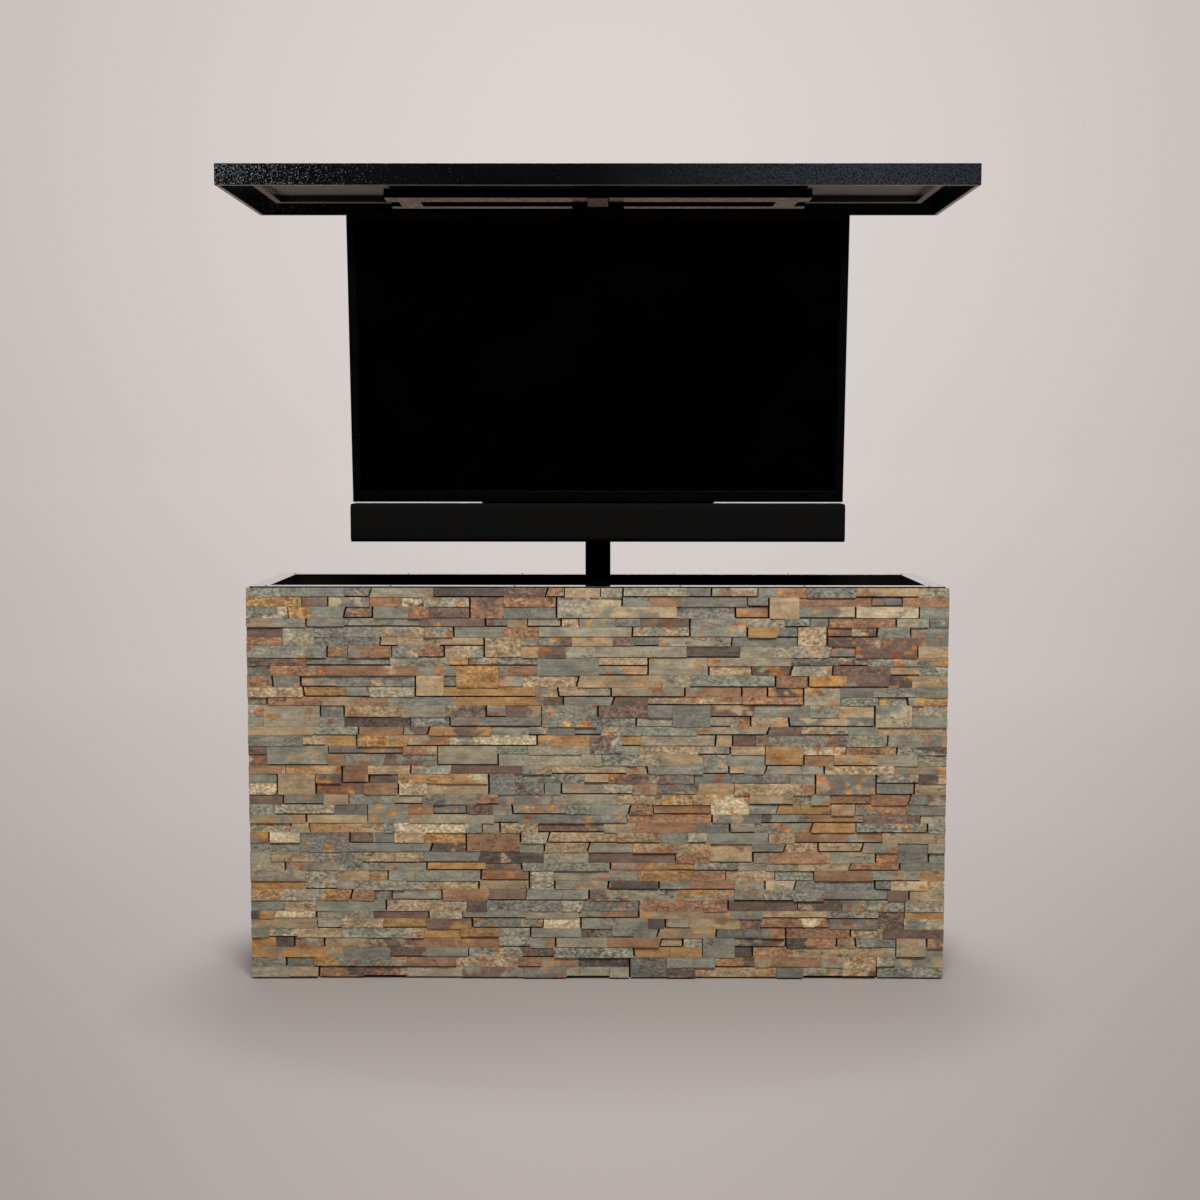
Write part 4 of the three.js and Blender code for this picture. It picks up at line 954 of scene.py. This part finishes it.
# The screws' depths are summed from the bezel's front, before the television is tilted.
TILT = math.radians(5)
TILT_AXIS = (0, 0.02, 1.5197)
BEZEL_FRONT = -0.0644
BEZEL_DEEP, COVER_DEEP, COVER_RAISED = 0.012, 0.014, 0.026
SEAT_GAP, RAIL_SHEET = 0.0003, 0.003
COVER_SCREWS_SUNK = 0.0006
tilt = Matrix.Translation(TILT_AXIS) @ Matrix.Rotation(TILT, 4, "X")
facing_back = tilt.to_3x3() @ Vector((0, 1, 0))
back_skin = BEZEL_FRONT + BEZEL_DEEP + SEAT_GAP + COVER_DEEP
rail_floor = back_skin + COVER_RAISED + SEAT_GAP + RAIL_SHEET
rail_screws = [(x, rail_floor, z) for x in (-0.2, 0.2) for z in (-0.13, -0.1, 0.1, 0.13)]
screws("television_rail_screws", "television", zinc,
       [tilt @ Vector(place) for place in rail_screws], facing_back, radius=0.005)
cover_screws = [
    (side * x, back_skin - COVER_SCREWS_SUNK, z)
    for side in (-1, 1) for x in (0.18, 0.46, 0.59) for z in (-0.335, 0.335)
]
screws("television_cover_screws", "television", zinc,
       [tilt @ Vector(place) for place in cover_screws], facing_back, radius=0.003)


# Studio: a plain pale floor that keeps the cabinet's shadow and runs out into a pale backdrop, with
# a key lamp high in front, a small one at each side of it, and broad soft ones overhead and behind.
HORIZON, OVERHEAD = (218, 209, 206), (233, 224, 220)


def shaded_backdrop(surface, way, colour, kept=1.0):
    """Darkens a backdrop colour a little away from +Y, and in reflections down to a dark front."""
    level = surface.add("VectorMath", operation="NORMALIZE")
    surface.join(way, level.inputs[0])
    behind = surface.axes(level.outputs[0])["Y"]
    pale_way = surface.ramp(behind, [(0.93, 0.745), (0.95, 0.805), (0.985, 0.925), (1.0, 0.985)])
    dark_way = surface.ramp(behind, [(0.0, 0.03), (0.8, 0.66), (0.93, 1.0)])
    pale_way = surface.mix(kept, (224, 224, 224), pale_way)
    mirrored = surface.add("LightPath").outputs["Is Glossy Ray"]
    shade = surface.mix(mirrored, pale_way, surface.mix(1.0, pale_way, dark_way, "MULTIPLY"))
    return surface.mix(1.0, colour, shade, "MULTIPLY")


def first_ray(surface):
    """One for rays from the camera, a reflection or glass, and nought for light on the object."""
    path = surface.add("LightPath")
    seen = surface.maths("MAXIMUM", path.outputs["Is Camera Ray"], path.outputs["Is Glossy Ray"])
    return surface.maths("MAXIMUM", seen, path.outputs["Is Transmission Ray"])


def eased_step(surface, value, start, end):
    """Rises smoothly from nought at start to one at end."""
    step = surface.add("MapRange", interpolation_type="SMOOTHSTEP")
    surface.join(value, step.inputs["Value"])
    surface.join(start, step.inputs["From Min"])
    surface.join(end, step.inputs["From Max"])
    return step.outputs["Result"]


def length_of(surface, vector):
    length = surface.add("VectorMath", operation="LENGTH")
    surface.join(vector, length.inputs[0])
    return length.outputs["Value"]


# The floor shows its lit surface in an oval round the cabinet and its own glow beyond it. The glow
# goes by the distance from a place in front, and its shading fades out behind that place.
FLOOR_REACH = 90.0
OVAL_SCALE, OVAL_SHIFT = (0.75, 1.0, 1.0), (0.0, 0.25, 0.0)
OVAL_EDGE = (0.66, 0.94)
GLOW_FROM = (0.0, -4.4, 0.0)
GLOW_SPAN = 50.0
SHADED_FROM = (0.6, 2.8)
floor = Finish("studio_floor", (173, 165, 161), 0.9, {"Specular IOR Level": 0.05})
oval = floor.add("VectorMath", operation="MULTIPLY_ADD")
floor.join(floor.place, oval.inputs[0])
oval.inputs[1].default_value = OVAL_SCALE
oval.inputs[2].default_value = OVAL_SHIFT
beyond = eased_step(floor, length_of(floor, oval.outputs[0]), *OVAL_EDGE)
from_glow = floor.add("VectorMath", operation="SUBTRACT")
floor.join(floor.place, from_glow.inputs[0])
from_glow.inputs[1].default_value = GLOW_FROM
away = floor.maths("DIVIDE", length_of(floor, from_glow.outputs[0]), GLOW_SPAN)
kept = eased_step(floor, floor.axes(from_glow.outputs[0])["Y"], *SHADED_FROM)
glow_colour = floor.ramp(away, [
    (0.058, (185, 176, 172)), (0.088, (192, 184, 180)), (0.125, (203, 194, 191)),
    (0.2, (212, 203, 200)), (0.5, (216, 207, 204)), (1.0, HORIZON),
])
glow_colour = shaded_backdrop(floor, from_glow.outputs[0], glow_colour, kept)
glow = floor.add("Emission")
floor.join(glow_colour, glow.inputs["Color"])
blend = floor.add("MixShader")
floor.join(floor.maths("MULTIPLY", first_ray(floor), beyond), blend.inputs[0])
floor.join(floor.shader.outputs[0], blend.inputs[1])
floor.join(glow.outputs[0], blend.inputs[2])
floor.join(blend.outputs[0], floor.nodes["Material Output"].inputs["Surface"])

form = bmesh.new()
form.faces.new([
    form.verts.new((x * FLOOR_REACH, y * FLOOR_REACH, 0))
    for x, y in ((-1, -1), (1, -1), (1, 1), (-1, 1))
])
floor_mesh = bpy.data.meshes.new("studio_floor")
form.to_mesh(floor_mesh)
form.free()
floor_mesh.materials.append(floor.material)
ground_sheet = bpy.data.objects.new("studio_floor", floor_mesh)
scene.collection.objects.link(ground_sheet)


class Backdrop(Finish):
    """The world's own surface, made up with the same layers."""

    def __init__(self):
        self.material = scene.world = bpy.data.worlds.new("studio_backdrop")
        self.material.use_nodes = True
        self.nodes = self.material.node_tree.nodes
        self.nodes.clear()


OVERHEAD_FROM = 0.26
AMBIENT = (1.0, 0.98, 0.96, 1)
AMBIENT_STRENGTH = 0.2
backdrop = Backdrop()
way_out = backdrop.add("TexCoord").outputs["Generated"]
height = backdrop.axes(way_out)["Z"]
sky_colour = backdrop.ramp(height, [(0.0, HORIZON), (OVERHEAD_FROM, OVERHEAD)])
pale = backdrop.add("Background")
backdrop.join(shaded_backdrop(backdrop, way_out, sky_colour), pale.inputs["Color"])
ambient = backdrop.add("Background")
ambient.inputs["Color"].default_value = AMBIENT
ambient.inputs["Strength"].default_value = AMBIENT_STRENGTH
sky = backdrop.add("MixShader")
backdrop.join(first_ray(backdrop), sky.inputs[0])
backdrop.join(ambient.outputs[0], sky.inputs[1])
backdrop.join(pale.outputs[0], sky.inputs[2])
backdrop.join(sky.outputs[0], backdrop.add("OutputWorld").inputs["Surface"])

for name, place, aim, size, power in (
    ("key_lamp", (0.45, -3.6, 4.4), (0.0, 0.0, 0.8), (2.2, 0.8), 235.0),
    ("right_lamp", (1.2, -4.4, 2.55), (0.6, 0.0, 1.93), (0.7, 0.3), 3.0),
    ("left_lamp", (-1.75, -4.4, 2.55), (-0.8, 0.0, 1.93), (0.3, 0.3), 4.0),
    ("top_lamp", (0.0, 0.6, 4.8), (0.0, 0.0, 0.0), (3.0, 1.2), 70.0),
    ("rear_lamp", (0.0, 3.6, 3.8), (0.0, 0.0, 0.6), (2.4, 0.8), 85.0),
):
    lamp = bpy.data.lights.new(name, "AREA")
    lamp.shape = "RECTANGLE"
    lamp.size, lamp.size_y = size
    lamp.energy = power
    lamp_object = bpy.data.objects.new(name, lamp)
    lamp_object.location = place
    lamp_object.rotation_euler = (Vector(aim) - Vector(place)).to_track_quat("-Z", "Y").to_euler()
    scene.collection.objects.link(lamp_object)


# Camera: 1.3 m over the floor and 4.4 m in front of the cabinet's middle, tipped down by about five
# degrees, with a lens that takes in the lid's whole width.
PICTURE = 1200
FOCAL_PIXELS = 1739.8
SENSOR = 36.0
FAR_CLIP = 200.0
CAMERA_PLACE = (0.0208, -4.3808, 1.3047)
TURNED, TIPPED_DOWN, ROLLED = 0.2, 5.12, 0.03
camera_data = bpy.data.cameras.new("camera")
camera_data.sensor_width = SENSOR
camera_data.lens = FOCAL_PIXELS * SENSOR / PICTURE
camera_data.clip_end = FAR_CLIP
camera = bpy.data.objects.new("camera", camera_data)
camera.matrix_world = (
    Matrix.Translation(CAMERA_PLACE)
    @ Matrix.Rotation(math.radians(TURNED), 4, "Z")
    @ Matrix.Rotation(math.radians(90 - TIPPED_DOWN), 4, "X")
    @ Matrix.Rotation(math.radians(ROLLED), 4, "Z")
)
scene.collection.objects.link(camera)
scene.camera = camera
scene.view_settings.view_transform = "Standard"
